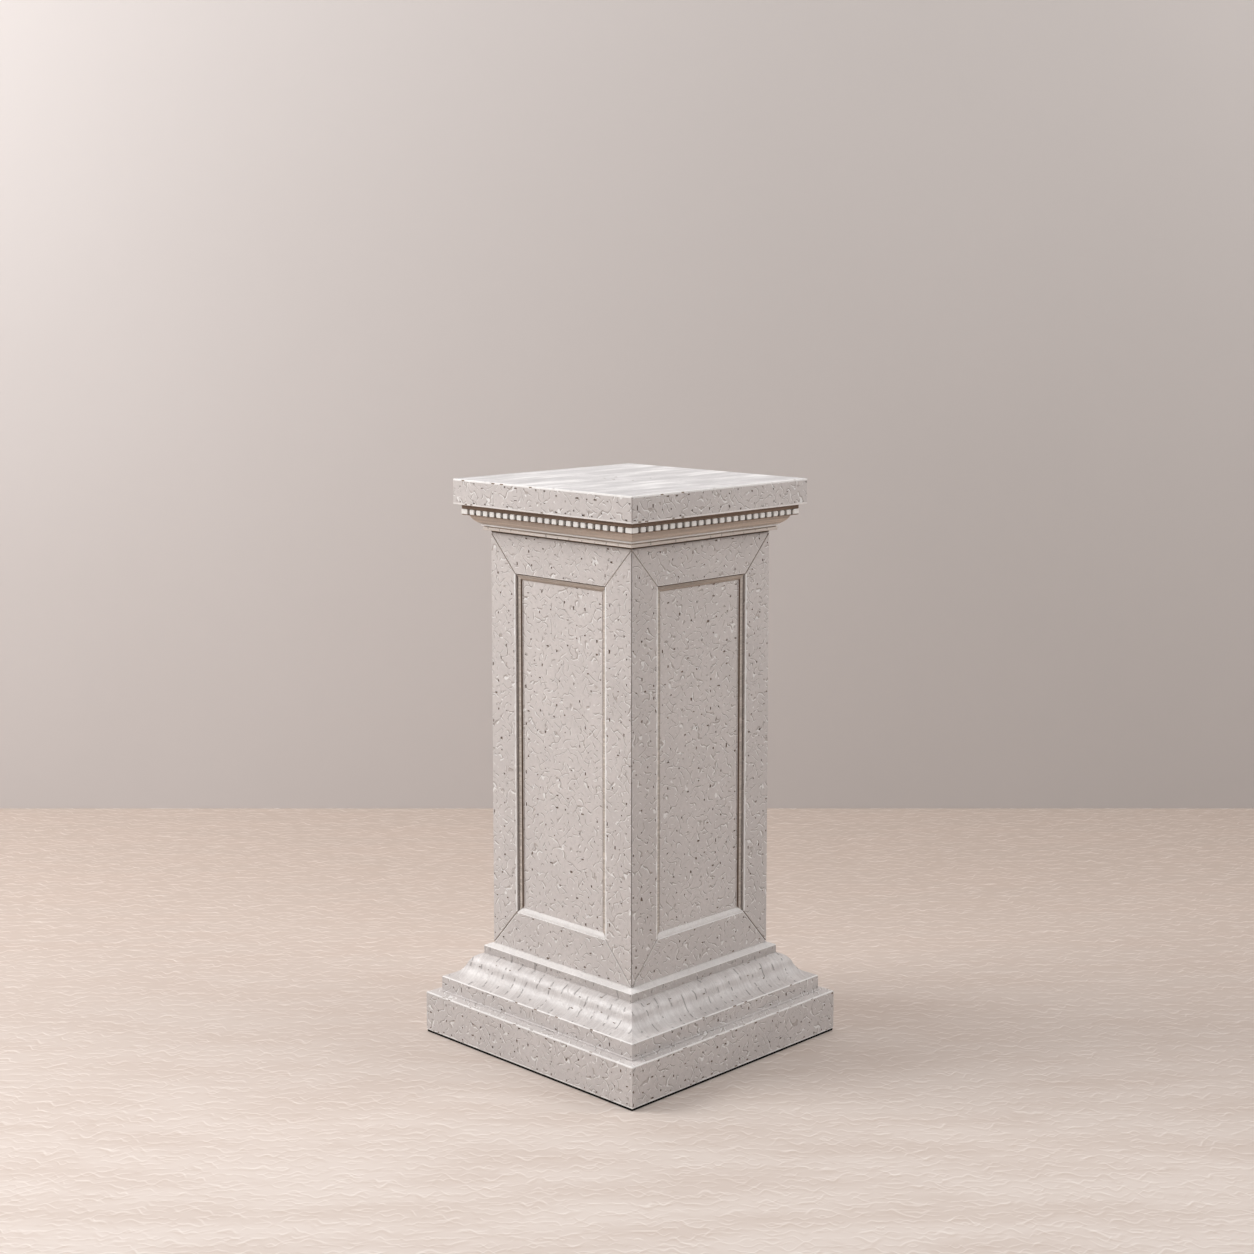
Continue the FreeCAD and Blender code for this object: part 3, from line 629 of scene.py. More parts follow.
def sink_pits(piece, candidate, share, lot, mouths=(0.0012, 0.0016, 0.0021), depth=0.0014):
    """Insets some faces down to small mouths, rounds their corners and pushes them in."""
    def least(f):
        return min(e.calc_length() for e in f.edges)

    mesh = bmesh.from_edit_mesh(piece.data)
    able = [f for f in mesh.faces if len(f.verts) == 4 and candidate(f) and least(f) > max(mouths) + 0.001
            and f.calc_area() > 0.9 * least(f) ** 2]
    wanted = share * len(able)
    lot.shuffle(able)
    groups, taken = {}, set()
    for f in able:
        ring = {n.index for v in f.verts for n in v.link_faces}
        if not ring & taken:
            wall = round((least(f) - lot.choice(mouths)) / 2, 4)
            groups.setdefault(wall, set()).add(spot(f))
            taken |= ring
        if sum(map(len, groups.values())) >= wanted:
            break
    for wall, places in groups.items():
        if choose(piece, "FACE", lambda f: spot(f) in places):
            bpy.ops.mesh.inset(thickness=wall, depth=0, use_individual=True)
            # The pit mouths are painted dark: partly dirt, partly painted shade.
            assign(piece, PIT)

    def mouth(f, fewest, most):
        return f.material_index == PIT and fewest <= len(f.verts) <= most and f.calc_area() < LARGEST_MOUTH

    if choose(piece, "FACE", lambda f: mouth(f, 4, 4)):
        bpy.ops.mesh.select_mode(type="VERT")
        bpy.ops.mesh.bevel(offset=0.3 * min(mouths), segments=1, affect="VERTICES",
                           material=FIELD, clamp_overlap=True)
        choose(piece, "FACE", lambda f: mouth(f, 5, 9))
        bpy.ops.mesh.inset(thickness=0.0003, depth=-depth, use_individual=True)
    return sum(map(len, groups.values()))


def chip(piece, share, lot):
    """Breaks short bits out of the eased arrises."""
    mesh = bmesh.from_edit_mesh(piece.data)
    strips = [spot(f) for f in mesh.faces if f.material_index == ARRIS and len(f.verts) == 4]
    broken = set(lot.sample(strips, round(share * len(strips))))
    if choose(piece, "FACE", lambda f: spot(f) in broken):
        bpy.ops.mesh.inset(thickness=CHIP_RIM, depth=-CHIP_DEEP, use_individual=True)
        # The broken bits are painted dark: partly dirt, partly painted shade.
        assign(piece, PIT)
    return len(broken)


def quarters(turn):
    """The turn about the stand's axis by that many right angles."""
    return Matrix.Rotation(turn * math.pi / 2, 4, "Z")


def turned(piece, name, turn):
    """A copy with its own mesh, turned about the stand's axis."""
    made = piece.copy()
    made.data = piece.data.copy()
    made.name = made.data.name = name
    made.data.transform(quarters(turn))
    bpy.context.scene.collection.objects.link(made)
    return made


def on_each_side(piece, name, node, wear=None):
    """Copies a front piece for every side, wears each copy in its own way, and turns it into place."""
    close_editing()
    pits = 0
    for turn, side in enumerate(SIDES):
        lot = random.Random(f"{name} {side}")
        copy = turned(piece, f"{name}_{side}", 0)
        if wear:
            edit(copy)
            pits += wear(copy, lot)
            close_editing()
        copy.data.transform(quarters(turn))
        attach(copy, "root")
        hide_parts(node.format(side=side))
    print(name, "on four sides:", len(piece.data.polygons), "faces each before", pits, "pits")
    bpy.data.objects.remove(piece)


def finish_with(piece, *names):
    """Fills the slots: the field, the pale arrises (partly wear, partly painted highlight), the dark pits
    (partly dirt, partly painted shade), and then what this piece alone has.
    """
    for name in names:
        piece.data.materials.append(looks[name])


def joined(pieces):
    """Makes one piece of several."""
    take(*pieces)
    bpy.ops.object.join()
    return bpy.context.object


def smooth(piece):
    """Shades the curves smooth and keeps the arrises sharp."""
    take(piece)
    bpy.ops.object.shade_smooth_by_angle(angle=SMOOTH_BELOW)


# %% [markdown]
# ## The cap slab
#
# One thick slab, with every arris eased so that it catches a thin line of light. Its level arrises are
# also painted pale, partly wear and partly painted highlight. Its sides are pitted like the rest of the
# stone. The top has been rubbed smooth and has only a few pits near the middle.

# %% The cap slab
SLAB_ARRIS, SLAB_CORNER = 0.0018, 0.0012
slab_low, slab_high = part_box("cap_slab")
lot = random.Random("cap slab")
slab = block("stone_cap_slab", slab_low, slab_high)
finish_with(slab, "cast_stone", "worn_stone", "pit_stone", "rubbed_stone")
ease(slab, lambda e: abs(e.verts[0].co.z - e.verts[1].co.z) < SAME, SLAB_ARRIS, 2)
ease(slab, lambda e: all(abs(abs(v.co[axis]) - slab_high[axis]) < SAME for v in e.verts for axis in (0, 1)),
     SLAB_CORNER)
for axis in range(3):
    score(axis, slab_low[axis] + SLAB_ARRIS, slab_high[axis] - SLAB_ARRIS, NET, lot)
plain(slab, lambda f: f.normal.z < -0.99)
for axis, level in ((0, slab_low.x), (0, slab_high.x), (1, slab_low.y), (1, slab_high.y), (2, slab_high.z)):
    loosen(slab, axis, level, lot)
paint(slab, OWN, lambda f: f.normal.z > 0.99)
paint(slab, FIELD, lambda f: f.material_index == ARRIS and abs(f.normal.z) < 0.1)
side_pits = sink_pits(slab, lambda f: abs(f.normal.z) < 0.1 and f.material_index == FIELD, 0.10, lot)
top_pits = sink_pits(slab, lambda f: f.normal.z > 0.99 and middle(f).xy.length < 0.05, 0.03, lot,
                     (0.0028, 0.0034), 0.0022)
chips = chip(slab, 0.055, lot)
close_editing()
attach(slab, "root")
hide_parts("cap_slab")
print("cap slab:", side_pits, "pits on the sides,", top_pits, "on top,", chips, "chips")

# %% [markdown]
# ## The shaft's frames
#
# Each face of the shaft is framed like a door: two stiles and two rails, with mitres that run from the
# shaft's corners to the recess. All four arrises of each member are eased, and the saw takes a hair more
# than the line, so that two members meet in a fine open V. That is what makes the mitres show as thin
# lines. The stile's side of each mitre is painted darker, a painted shade, and the rail's side keeps the
# pale arris, partly wear and partly painted highlight. Along each stile beside the recess a narrow strip is
# painted pale, a painted highlight. Short bits are broken out of the arrises, as on every old corner, and
# painted dark, partly dirt and partly painted shade.

# %% Stiles and rails
FRAME_ARRIS, TIP_ARRIS, MITRE_GAP, LIT_STRIP = 0.0013, 0.0003, 0.0004, 0.0016
shaft_low, shaft_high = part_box("stile_front_left")[0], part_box("stile_front_right")[1]
recess_foot, recess_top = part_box("rail_front_bottom")[1].z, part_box("rail_front_top")[0].z
recess_half = -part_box("stile_front_left")[1].x
shaft_half = -shaft_low.x
face = shaft_low.y


def worn(level, pit_share, chip_share):
    """The wear of a piece whose face lies at a level of y: a loosened net, pits and chips."""
    def wear(piece, lot):
        loosen(piece, 1, level, lot)
        pits = sink_pits(piece, lambda f: on_level(f, 1, level) and f.material_index == FIELD, pit_share, lot)
        chip(piece, chip_share, lot)
        return pits
    return wear


def frame_joint(end, upper, keep_stile):
    """Saws along the line from the shaft's corner to the recess's corner."""
    level = shaft_high.z if upper else shaft_low.z
    inner = recess_top if upper else recess_foot
    across, rise = shaft_half - recess_half, abs(level - inner)
    away = Vector((-end * rise, 0, across if upper else -across))
    away = (away if keep_stile else -away).normalized()
    saw(Vector((end * shaft_half, 0, level)) - away * MITRE_GAP, away)


def frame_member(name, node, ends, is_stile):
    """A stile with one end on the shaft's corner, or a rail with both."""
    low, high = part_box(node)
    piece = block(name, low, high)
    finish_with(piece, "cast_stone", "worn_stone", "pit_stone", "mitre_stone", "lip_stone")
    for end in ends:
        saw((end * shaft_half, face, 0), (end, 1, 0))
    if is_stile:
        for upper in (False, True):
            frame_joint(ends[0], upper, True)
    else:
        for end in ends:
            frame_joint(end, high.z > 0.5, False)

    def at_tip(e):
        return all(abs(abs(v.co.x) - shaft_half) < SAME for v in e.verts)

    ease(piece, lambda e: on_level(e, 1, face) and not at_tip(e), FRAME_ARRIS, 2)
    ease(piece, lambda e: on_level(e, 1, face) and at_tip(e), TIP_ARRIS)
    if is_stile:
        strip = recess_half + FRAME_ARRIS + LIT_STRIP
        score_at(0, ends[0] * strip)
        # Painted shade: the stile's side of each mitre is painted darker.
        paint(piece, OWN, lambda f: f.material_index == ARRIS and abs(f.normal.z) > 0.1)
        # Painted highlight: a narrow strip beside the recess is painted pale.
        paint(piece, SECOND, lambda f: f.normal.y < -0.1 and abs(f.normal.z) < 0.1 and abs(middle(f).x) < strip)
    net(name, (low.x, high.x), (low.z, high.z))
    plain(piece, lambda f: on_level(f, 1, high.y))
    return piece


for end, hand in ((-1, "left"), (1, "right")):
    stile = frame_member("stone_stile_" + hand, "stile_front_" + hand, (end,), True)
    on_each_side(stile, "stone_stile_" + hand, "stile_{side}_" + hand, worn(face, 0.05, 0.04))
for place in ("top", "bottom"):
    rail = frame_member("stone_rail_" + place, "rail_front_" + place, (-1, 1), False)
    on_each_side(rail, "stone_rail_" + place, "rail_{side}_" + place, worn(face, 0.05, 0.04))

# %% [markdown]
# ## The panels
#
# A flat slab of the same stone lies at the bottom of each recess. It takes the most pits, because it is
# the largest face that the air had to leave through.

# %% Panels
PIT_FREE = 0.016
panel_low, panel_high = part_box("panel_front")
panel_face = panel_low.y


def panel_wear(piece, lot):
    """Pits everywhere but beside the uprights."""
    loosen(piece, 1, panel_face, lot)
    return sink_pits(piece, lambda f: on_level(f, 1, panel_face) and abs(middle(f).x) < recess_half - PIT_FREE,
                     0.05, lot)


panel = block("stone_panel", panel_low, panel_high)
finish_with(panel, "panel_stone", "worn_stone", "pit_stone")
net("panel", (panel_low.x, panel_high.x), (panel_low.z, panel_high.z))
plain(panel, lambda f: on_level(f, 1, panel_high.y))
on_each_side(panel, "stone_panel", "panel_{side}", panel_wear)

# %% [markdown]
# ## The panel mouldings
#
# Round each panel runs a small moulding of a warmer, browner stone; the brown is partly the stone's own
# tone and partly painted shade. The uprights have a bead between two narrow dark grooves, and a thin pale
# lip beside the panel. The head is narrower, with a dark groove under the rail and a paler line along it.
# The grooves are painted dark, a painted shade. The sill is a plain slope painted pale, painted light on a
# face that looks up. Each length is drawn once along X, mitred, and then turned to its edge of the recess.
# At last the four are joined to one frame.

# %% Panel mouldings
FIT, MOULDING_WIDE, HEAD_WIDE = 0.0002, 0.0128, 0.0104
deep = panel_face - face


def moulding_length(name, half, section, finish):
    """One mitred length, with its back at z = 0 and its middle at x = 0. A point of the section is how far
    it lies from the recess's edge and how deep below the shaft's face, and then a curve if there is one."""
    start, *steps = [(face + depth, across) for across, depth, *_ in section]
    steps = [(*point, *section[i + 1][2:]) for i, point in enumerate(steps)]
    piece = run(name, half + 0.002, start, steps)
    finish_with(piece, *finish)
    for end in (-1, 1):
        saw((end * half, 0, 0), (end, 0, 1))
    return piece


bead_section = [
    (FIT, deep), (FIT, 0.0062), (0.0016, 0.0062), (0.0018, 0.0048), (0.0028, 0.0038), (0.0088, 0.0042, 0.0080, 1),
    (0.0091, 0.0067), (0.0114, 0.0067), (0.0116, 0.0061), (MOULDING_WIDE, 0.0061), (MOULDING_WIDE, deep),
]
head_section = [
    (FIT, deep), (FIT, 0.0052), (0.0014, 0.0052), (0.0014, 0.0030), (0.0024, 0.0022), (0.0048, 0.0026),
    (0.0052, 0.0038), (0.0058, 0.0030), (0.0086, 0.0044, 0.0060, 1), (HEAD_WIDE, 0.0060), (HEAD_WIDE, deep),
]
sill_section = [
    (FIT, deep), (FIT, 0.0012), (0.0022, 0.0016), (0.0026, 0.0026), (0.0031, 0.0026), (0.0072, 0.0056),
    (0.0080, deep),
]


def placed(piece, matrix):
    """Moves the mesh itself, so that the object stays at the origin."""
    close_editing()
    piece.data.transform(matrix)
    return piece


def zoned(piece, zones):
    """Gives each band of a length its finish: a slot, and where it starts and ends from the recess's edge."""
    for slot, inner, outer in zones:
        paint(piece, slot, lambda f: inner < middle(f).z <= outer + SAME and not on_level(f, 1, panel_face))


panel_middle = (recess_foot + recess_top) / 2
upright_half = (recess_top - recess_foot) / 2 - FIT
level_half = recess_half - FIT
browns = ("pit_stone", "moulding_stone", "bead_stone")
# The sill is painted pale: painted light on a face that looks up.
sill = moulding_length("sill", level_half, sill_section, ("sill_stone", "worn_stone", "gap_stone"))
lengths = [placed(sill, Matrix.Translation((0, 0, recess_foot)))]
head = moulding_length("head", level_half, head_section, ("sill_stone", "worn_stone", *browns))
# The groove under the rail is painted dark: painted shade.
zoned(head, ((OWN, -1.0, 1.0), (PIT, 0.0, 0.0014), (SECOND, 0.0047, 0.0056)))
lengths.append(placed(head, Matrix.Translation((0, 0, recess_top)) @ Matrix.Rotation(math.pi, 4, "Y")))
for end in (-1, 1):
    upright = moulding_length("upright", upright_half, bead_section, ("sill_stone", "cast_stone", *browns))
    # The uprights' two grooves are painted dark: painted shade.
    zoned(upright, ((SECOND, 0.0016, 0.0088), (PIT, 0.0, 0.0016), (PIT, 0.0088, 0.0114), (ARRIS, 0.0114, 0.02)))
    turn = Matrix.Translation((end * recess_half, 0, panel_middle)) @ Matrix.Rotation(-end * math.pi / 2, 4, "Y")
    lengths.append(placed(upright, turn))
on_each_side(joined(lengths), "stone_panel_moulding", "panel_moulding_{side}")

# %% [markdown]
# ## The plinth
#
# Four thick boards meet in mitres at the corners. Their upper arris is eased broadly, and a narrow strip
# along their foot is painted pale, partly wear and partly painted highlight. The board is wider than its
# solid, because its tips run out to the corner.

# %% Plinth boards
PLINTH_ARRIS, WEAR_AND_HIGHLIGHT_STRIP, FOOT_ARRIS = 0.0021, 0.0022, 0.0005
plinth_low, plinth_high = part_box("plinth_board_front")
plinth_face = plinth_low.y
wear_and_highlight_top = plinth_low.z + WEAR_AND_HIGHLIGHT_STRIP
plinth = block("stone_plinth", (plinth_face, plinth_face, plinth_low.z),
               (-plinth_face, plinth_high.y, plinth_high.z))
finish_with(plinth, "cast_stone", "worn_stone", "pit_stone")
mitre(Vector((plinth_face, plinth_face, 0)))
score_at(2, wear_and_highlight_top)
# The strip along the foot is painted pale: partly wear, partly painted highlight.
paint(plinth, ARRIS, lambda f: on_level(f, 1, plinth_face) and middle(f).z < wear_and_highlight_top)
ease(plinth, lambda e: on_level(e, 1, plinth_face) and on_level(e, 2, plinth_high.z), PLINTH_ARRIS, 2)
ease(plinth, lambda e: on_level(e, 1, plinth_face) and on_level(e, 2, plinth_low.z), FOOT_ARRIS)
net("plinth", (plinth_face, -plinth_face), (wear_and_highlight_top, plinth_high.z - PLINTH_ARRIS))
plain(plinth, lambda f: on_level(f, 1, plinth_high.y) or f.normal.z < -0.99)
on_each_side(plinth, "stone_plinth", "plinth_board_{side}", worn(plinth_face, 0.10, 0.06))

# %% [markdown]
# ## The foot
#
# The plinth stands on four dark strips, and so a black line runs under it. One strip is made and copied
# for each side, and the four are joined to one piece.

# %% The foot
FOOT_BACK, FOOT_WIDE = 0.0010, 0.02
foot_low, foot_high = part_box("foot_strips")
foot_face = plinth_face + FOOT_BACK
foot_strip = block("foot", (foot_face, foot_face, foot_low.z), (-foot_face, foot_face + FOOT_WIDE, foot_high.z))
finish_with(foot_strip, "foot_rubber")
mitre(Vector((foot_face, foot_face, 0)))
close_editing()
strips = [turned(foot_strip, "foot", turn) for turn in range(4)]
bpy.data.objects.remove(foot_strip)
foot = joined(strips)
foot.name = foot.data.name = "rubber_foot"
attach(foot, "root")
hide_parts("foot_strips")
print("foot strips:", len(foot.data.polygons), "faces, front", round(FOOT_BACK * 1000, 1), "mm behind the plinth")

# %% [markdown]
# ## The base mouldings
#
# Above the plinth runs a small bead, a square step, and then the big reversed curve, called an ogee: a
# round crown that turns into a hollow. The section is drawn out from one edge, with the spin tool for the
# curves, and sawn off at 45 degrees at both ends.

# %% Base mouldings
base_low, base_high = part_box("base_moulding_front")
fillet_low, fillet_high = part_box("base_fillet_front")
seat = base_high.y
STEP_ARRIS, BEAD_OUT, BEAD_HIGH, STEP_HIGH = 0.0016, 0.0012, 0.003, 0.026
step_face = base_low.y + BEAD_OUT
step_foot = base_low.z + BEAD_HIGH
step_top = step_foot + STEP_HIGH


def step_wear(piece, lot):
    loosen(piece, 1, step_face, lot)
    on_step = sink_pits(piece, lambda f: on_level(f, 1, step_face), 0.09, lot)
    on_curve = sink_pits(piece, lambda f: middle(f).z > step_top and f.normal.y < -0.2
                         and middle(f).y > base_low.y + 0.01, 0.012, lot, (0.0014, 0.0018))
    chip(piece, 0.06, lot)
    return on_step + on_curve


# The last two numbers of a step are the curve's radius and the side it bulges to.
base = run("stone_base_moulding", -base_low.x + SPARE, (seat, base_high.z), [
    (fillet_low.y, base_high.z),
    (fillet_low.y - 0.0215, base_high.z - 0.020, 0.029, 1),
    (step_face + STEP_ARRIS, step_top, 0.038, -1),
    (step_face, step_top - STEP_ARRIS),
    (step_face, step_foot + 0.0004), (step_face - 0.0004, step_foot), (base_low.y, step_foot - 0.0008),
    (base_low.y, base_low.z), (seat, base_low.z),
])
finish_with(base, "run_stone", "worn_stone", "pit_stone", "cast_stone")
mitre(base_low)
# The step's upper arris is painted pale: partly wear, partly painted highlight.
paint(base, ARRIS, lambda f: f.normal.y < -0.5 and abs(f.normal.z + f.normal.y) < 0.02
      and step_top - STEP_ARRIS - SAME < middle(f).z < step_top)
paint(base, OWN, lambda f: middle(f).z < step_top - STEP_ARRIS)
net("base", (base_low.x, base_high.x), (step_foot + 0.0004, step_top - STEP_ARRIS))
smooth(base)
on_each_side(base, "stone_base_moulding", "base_moulding_{side}", step_wear)

# %% [markdown]
# ## The base fillets
#
# A flat length covers the joint between the ogee and the shaft. Its top slopes outward, so that dust and
# water run off, and the slope is painted a little paler than the face, painted light on a face that looks up.

# %% Base fillets
FILLET_ARRIS, WEATHER_DROP = 0.0008, 0.0044
fillet_shoulder = fillet_high.z - WEATHER_DROP


def fillet_wear(piece, lot):
    return sink_pits(piece, lambda f: on_level(f, 1, fillet_low.y) and f.material_index == FIELD, 0.05, lot)


fillet = run("stone_base_fillet", -fillet_low.x + SPARE, (seat, fillet_high.z), [
    (face, fillet_high.z), (fillet_low.y, fillet_shoulder), (fillet_low.y, fillet_low.z), (seat, fillet_low.z),
])
finish_with(fillet, "fillet_stone", "worn_stone", "pit_stone", "sill_stone")
mitre(fillet_low)
ease(fillet, lambda e: on_level(e, 1, fillet_low.y), FILLET_ARRIS)
# The sloping top is painted pale: painted light on a face that looks up.
paint(fillet, OWN, lambda f: f.material_index == FIELD and f.normal.z > 0.5)
net("fillet", (fillet_low.x, fillet_high.x), (fillet_low.z + FILLET_ARRIS, fillet_shoulder - FILLET_ARRIS))
on_each_side(fillet, "stone_base_fillet", "base_fillet_{side}", fillet_wear)

# %% [markdown]
# ## The capital
#
# Under the slab come three things: a strip with the dentils, a quarter-round that carries it, and a flat
# neck below a thin pale lip and a narrow hollow. The lip is painted pale, a painted highlight. Below the
# neck the section steps back and leaves a gap on the shaft, whose faces are painted dark, a painted shade.
# All are cut from the browner stone and stay in the slab's shade; the brown is partly the stone's own tone
# and partly painted shade.

# %% Capital mouldings
capital_low, capital_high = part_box("capital_moulding_front")
NECK_OUT, OVOLO_OUT, LIP_OUT = 0.010, 0.027, 0.011
LIP_HIGH, NECK_HIGH, SHADOW_GAP, OVOLO_RADIUS = 0.0030, 0.0112, 0.0036, 0.027
neck_top, gap_top = capital_low.z + NECK_HIGH, capital_low.z + SHADOW_GAP
neck_face, lip_face = face - NECK_OUT, face - LIP_OUT
capital = run("stone_capital", -capital_low.x + SPARE, (capital_high.y, capital_high.z), [
    (face - OVOLO_OUT, capital_high.z), (lip_face, neck_top + LIP_HIGH, OVOLO_RADIUS, 1),
    (lip_face - 0.0012, neck_top + 0.0024), (lip_face - 0.0012, neck_top + 0.0006), (lip_face, neck_top),
    (neck_face + 0.0024, neck_top), (neck_face + 0.0024, neck_top - 0.0016), (neck_face, neck_top - 0.0024),
    (neck_face, gap_top + 0.0006), (neck_face + 0.0006, gap_top),
    (face + 0.0008, gap_top), (face + 0.0008, capital_low.z), (capital_high.y, capital_low.z),
])
finish_with(capital, "capital_stone", "neck_stone", "gap_stone", "lip_stone")
mitre(capital_low)
paint(capital, ARRIS, lambda f: f.normal.y < -0.9 and middle(f).z < neck_top + LIP_HIGH)
# Painted highlight: the lip is painted pale.
paint(capital, OWN, lambda f: f.normal.y < -0.3 and neck_top < middle(f).z < neck_top + LIP_HIGH)
# Painted shade: the gap under the neck is painted dark.
paint(capital, PIT, lambda f: f.normal.y < 0.5 and middle(f).z < gap_top + SAME)
score(0, capital_low.x, capital_high.x, 3 * NET, random.Random("capital"))
smooth(capital)
on_each_side(capital, "stone_capital", "capital_moulding_{side}")

# %% [markdown]
# ## The strip behind the dentils
#
# A channel runs along this strip for the dentils to stand in. The channel is painted the darkest, a
# painted shade, and that is what shows between them. The strip's face is painted dark brown, a painted
# shade under the slab.

# %% Dentil grounds
ground_low, ground_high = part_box("dentil_ground_front")
LIP_LINE, DENTIL_HIGH, CHANNEL, GROUND_ARRIS = 0.0013, 0.009, 0.005, 0.0006
dentil_foot = ground_low.z + LIP_LINE
dentil_top = dentil_foot + DENTIL_HIGH
ground_face, dentil_back = ground_low.y, ground_low.y + CHANNEL
ground = run("stone_dentil_ground", -ground_low.x + SPARE, (ground_high.y, ground_high.z), [
    (ground_face + GROUND_ARRIS, ground_high.z), (ground_face, ground_high.z - GROUND_ARRIS),
    (ground_face, dentil_top + GROUND_ARRIS), (ground_face + GROUND_ARRIS, dentil_top),
    (dentil_back, dentil_top), (dentil_back, dentil_foot), (ground_face, dentil_foot),
    (ground_face, ground_low.z), (ground_high.y, ground_low.z),
])
# Painted shade: the strip's face is painted dark brown under the slab.
finish_with(ground, "shaded_moulding", "worn_stone", "gap_stone")
mitre(ground_low)
# Painted shade: the channel between the dentils is painted darkest.
paint(ground, PIT, lambda f: dentil_foot - SAME < middle(f).z < dentil_top + SAME
      and middle(f).y < dentil_back + SAME and abs(f.normal.x) < 0.5)
on_each_side(ground, "stone_dentil_ground", "dentil_ground_{side}")

# %% [markdown]
# ## The dentils
#
# Small white blocks stand in the channel of the strip, with dark gaps between them. One is made, its
# corners are rounded, and it is copied along each side. At the corners of the stand a block with two arms
# goes round the corner.

# %% Dentils
DENTILS, DENTIL_GAP, CORNER_ARM, DENTIL_ARRIS = 22, 0.0058, 0.015, 0.0012
dentil_low, dentil_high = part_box("dentil_blocks")
row_start = ground_face + CORNER_ARM
pitch = (-2 * row_start - DENTIL_GAP) / DENTILS
dentil = block("dentil", (row_start + DENTIL_GAP, dentil_low.y, dentil_low.z),
               (row_start + pitch, dentil_back, dentil_high.z))
finish_with(dentil, "white_stone")
choose(dentil, "EDGE", lambda e: not on_level(e, 1, dentil_back))
bpy.ops.mesh.bevel(offset=DENTIL_ARRIS, segments=2, affect="EDGES")


def touches(v, level):
    """True if a corner of the mesh lies at that level of x or of y."""
    return abs(v.co.x - level) < SAME or abs(v.co.y - level) < SAME


corner = block("corner dentil", dentil_low, (dentil_back, dentil_back, dentil_high.z))
finish_with(corner, "white_stone")
choose(corner, "FACE", lambda f: f.normal.x > 0.9)
bpy.ops.mesh.extrude_region_move(TRANSFORM_OT_translate={"value": (row_start - dentil_back, 0, 0)})
choose(corner, "FACE", lambda f: f.normal.y > 0.9 and middle(f).x < dentil_back)
bpy.ops.mesh.extrude_region_move(TRANSFORM_OT_translate={"value": (0, row_start - dentil_back, 0)})
choose(corner, "EDGE", lambda e: any(touches(v, dentil_low.x) for v in e.verts)
       and not all(touches(v, dentil_back) for v in e.verts))
bpy.ops.mesh.bevel(offset=DENTIL_ARRIS, segments=2, affect="EDGES")
close_editing()

course = []
for turn in range(4):
    course.append(turned(corner, "dentil", turn))
    for i in range(DENTILS):
        copy = turned(dentil, "dentil", 0)
        copy.data.transform(quarters(turn) @ Matrix.Translation((i * pitch, 0, 0)))
        course.append(copy)
for pattern in (dentil, corner):
    bpy.data.objects.remove(pattern)
dentils = joined(course)
dentils.name = dentils.data.name = "stone_dentils"
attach(dentils, "root")
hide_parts("dentil_blocks")
print("dentils:", len(course), "blocks,", len(dentils.data.polygons), "faces")

# %% [markdown]
# ## The room
#
# A pale floor and a plain wall, both seen in the photograph. The wall stands square to the camera, so its
# foot is a level line. It can be seen through from behind, so that the camera can walk round the stand.

# %% The floor's stone and the wall's paint
# For each row of waves: the spacing in metres, how close the waves lie, a shift, and how far they sway.
WAVES = ((0.021, 1.0, 0.0, 2.4), (0.023, 1.0, 0.0, -2.4), (0.031, 0.8, 3.0, 2.2))
# Where in a wave it lies, its inner and outer half width, its colour and how strongly it shows.
DARK_WAVE_LINE = (0.28, 0.05, 0.22, (0.50, 0.39, 0.325), 0.22)
PALE_WAVE_LINE = (0.50, 0.03, 0.11, (0.92, 0.87, 0.83), 0.27)


def floor_stone():
    """A pale stone, painted darker towards the wall, a painted shade of the light falling off, with wavy dark
    and pale lines along the wall that come and go.
    """
    r = Recipe("floor", (0.66, 0.55, 0.47), 0.45)
    squared = r.moved((0, 0, 0), (1, 1, 1), (0, 0, -CAMERA_HEADING))

    def stretched(scales, aside):
        return r.vector("MULTIPLY_ADD", squared, scales, aside)

    from_wall = r.node("ShaderNodeSeparateXYZ", Vector=squared).outputs[1]
    # Painted shade: the floor is painted darker towards the wall, where the light falls off.
    tint = r.mix(r.mask(from_wall, -1.1, 1.3), (0.680, 0.600, 0.548), (0.462, 0.376, 0.322))
    drift = r.noise(1.0, 3.0, 0.55, stretched((3.0, 13.0, 1.0), (1, 2, 0)))
    tint = r.mix(r.mask(drift, 0.34, 0.62, 0.34, 0.0), tint, (0.50, 0.395, 0.335))
    for spacing, spread, aside, way in WAVES:
        sway = r.noise(1.0, 1.0, 0.5, stretched((34 * spread, 11 * spread, 1), (aside, aside, 0)))
        count = r.math("MULTIPLY_ADD", from_wall, 1 / spacing, r.times(sway, way))
        seen = r.noise(1.0, 1.0, 0.5, stretched((27 * spread, 36 * spread, 1), (aside + 5 * way, 1, 0)))
        seen = r.mask(seen, 0.42, 0.62, 0.05, 1.0)
        for level, inner, outer, tone, amount in (DARK_WAVE_LINE, PALE_WAVE_LINE):
            ripple = r.times(r.line(count, level, inner, outer), seen)
            tint = r.mix(r.times(ripple, amount), tint, tone)
    return r.finish(tint, drift, 0.0004)


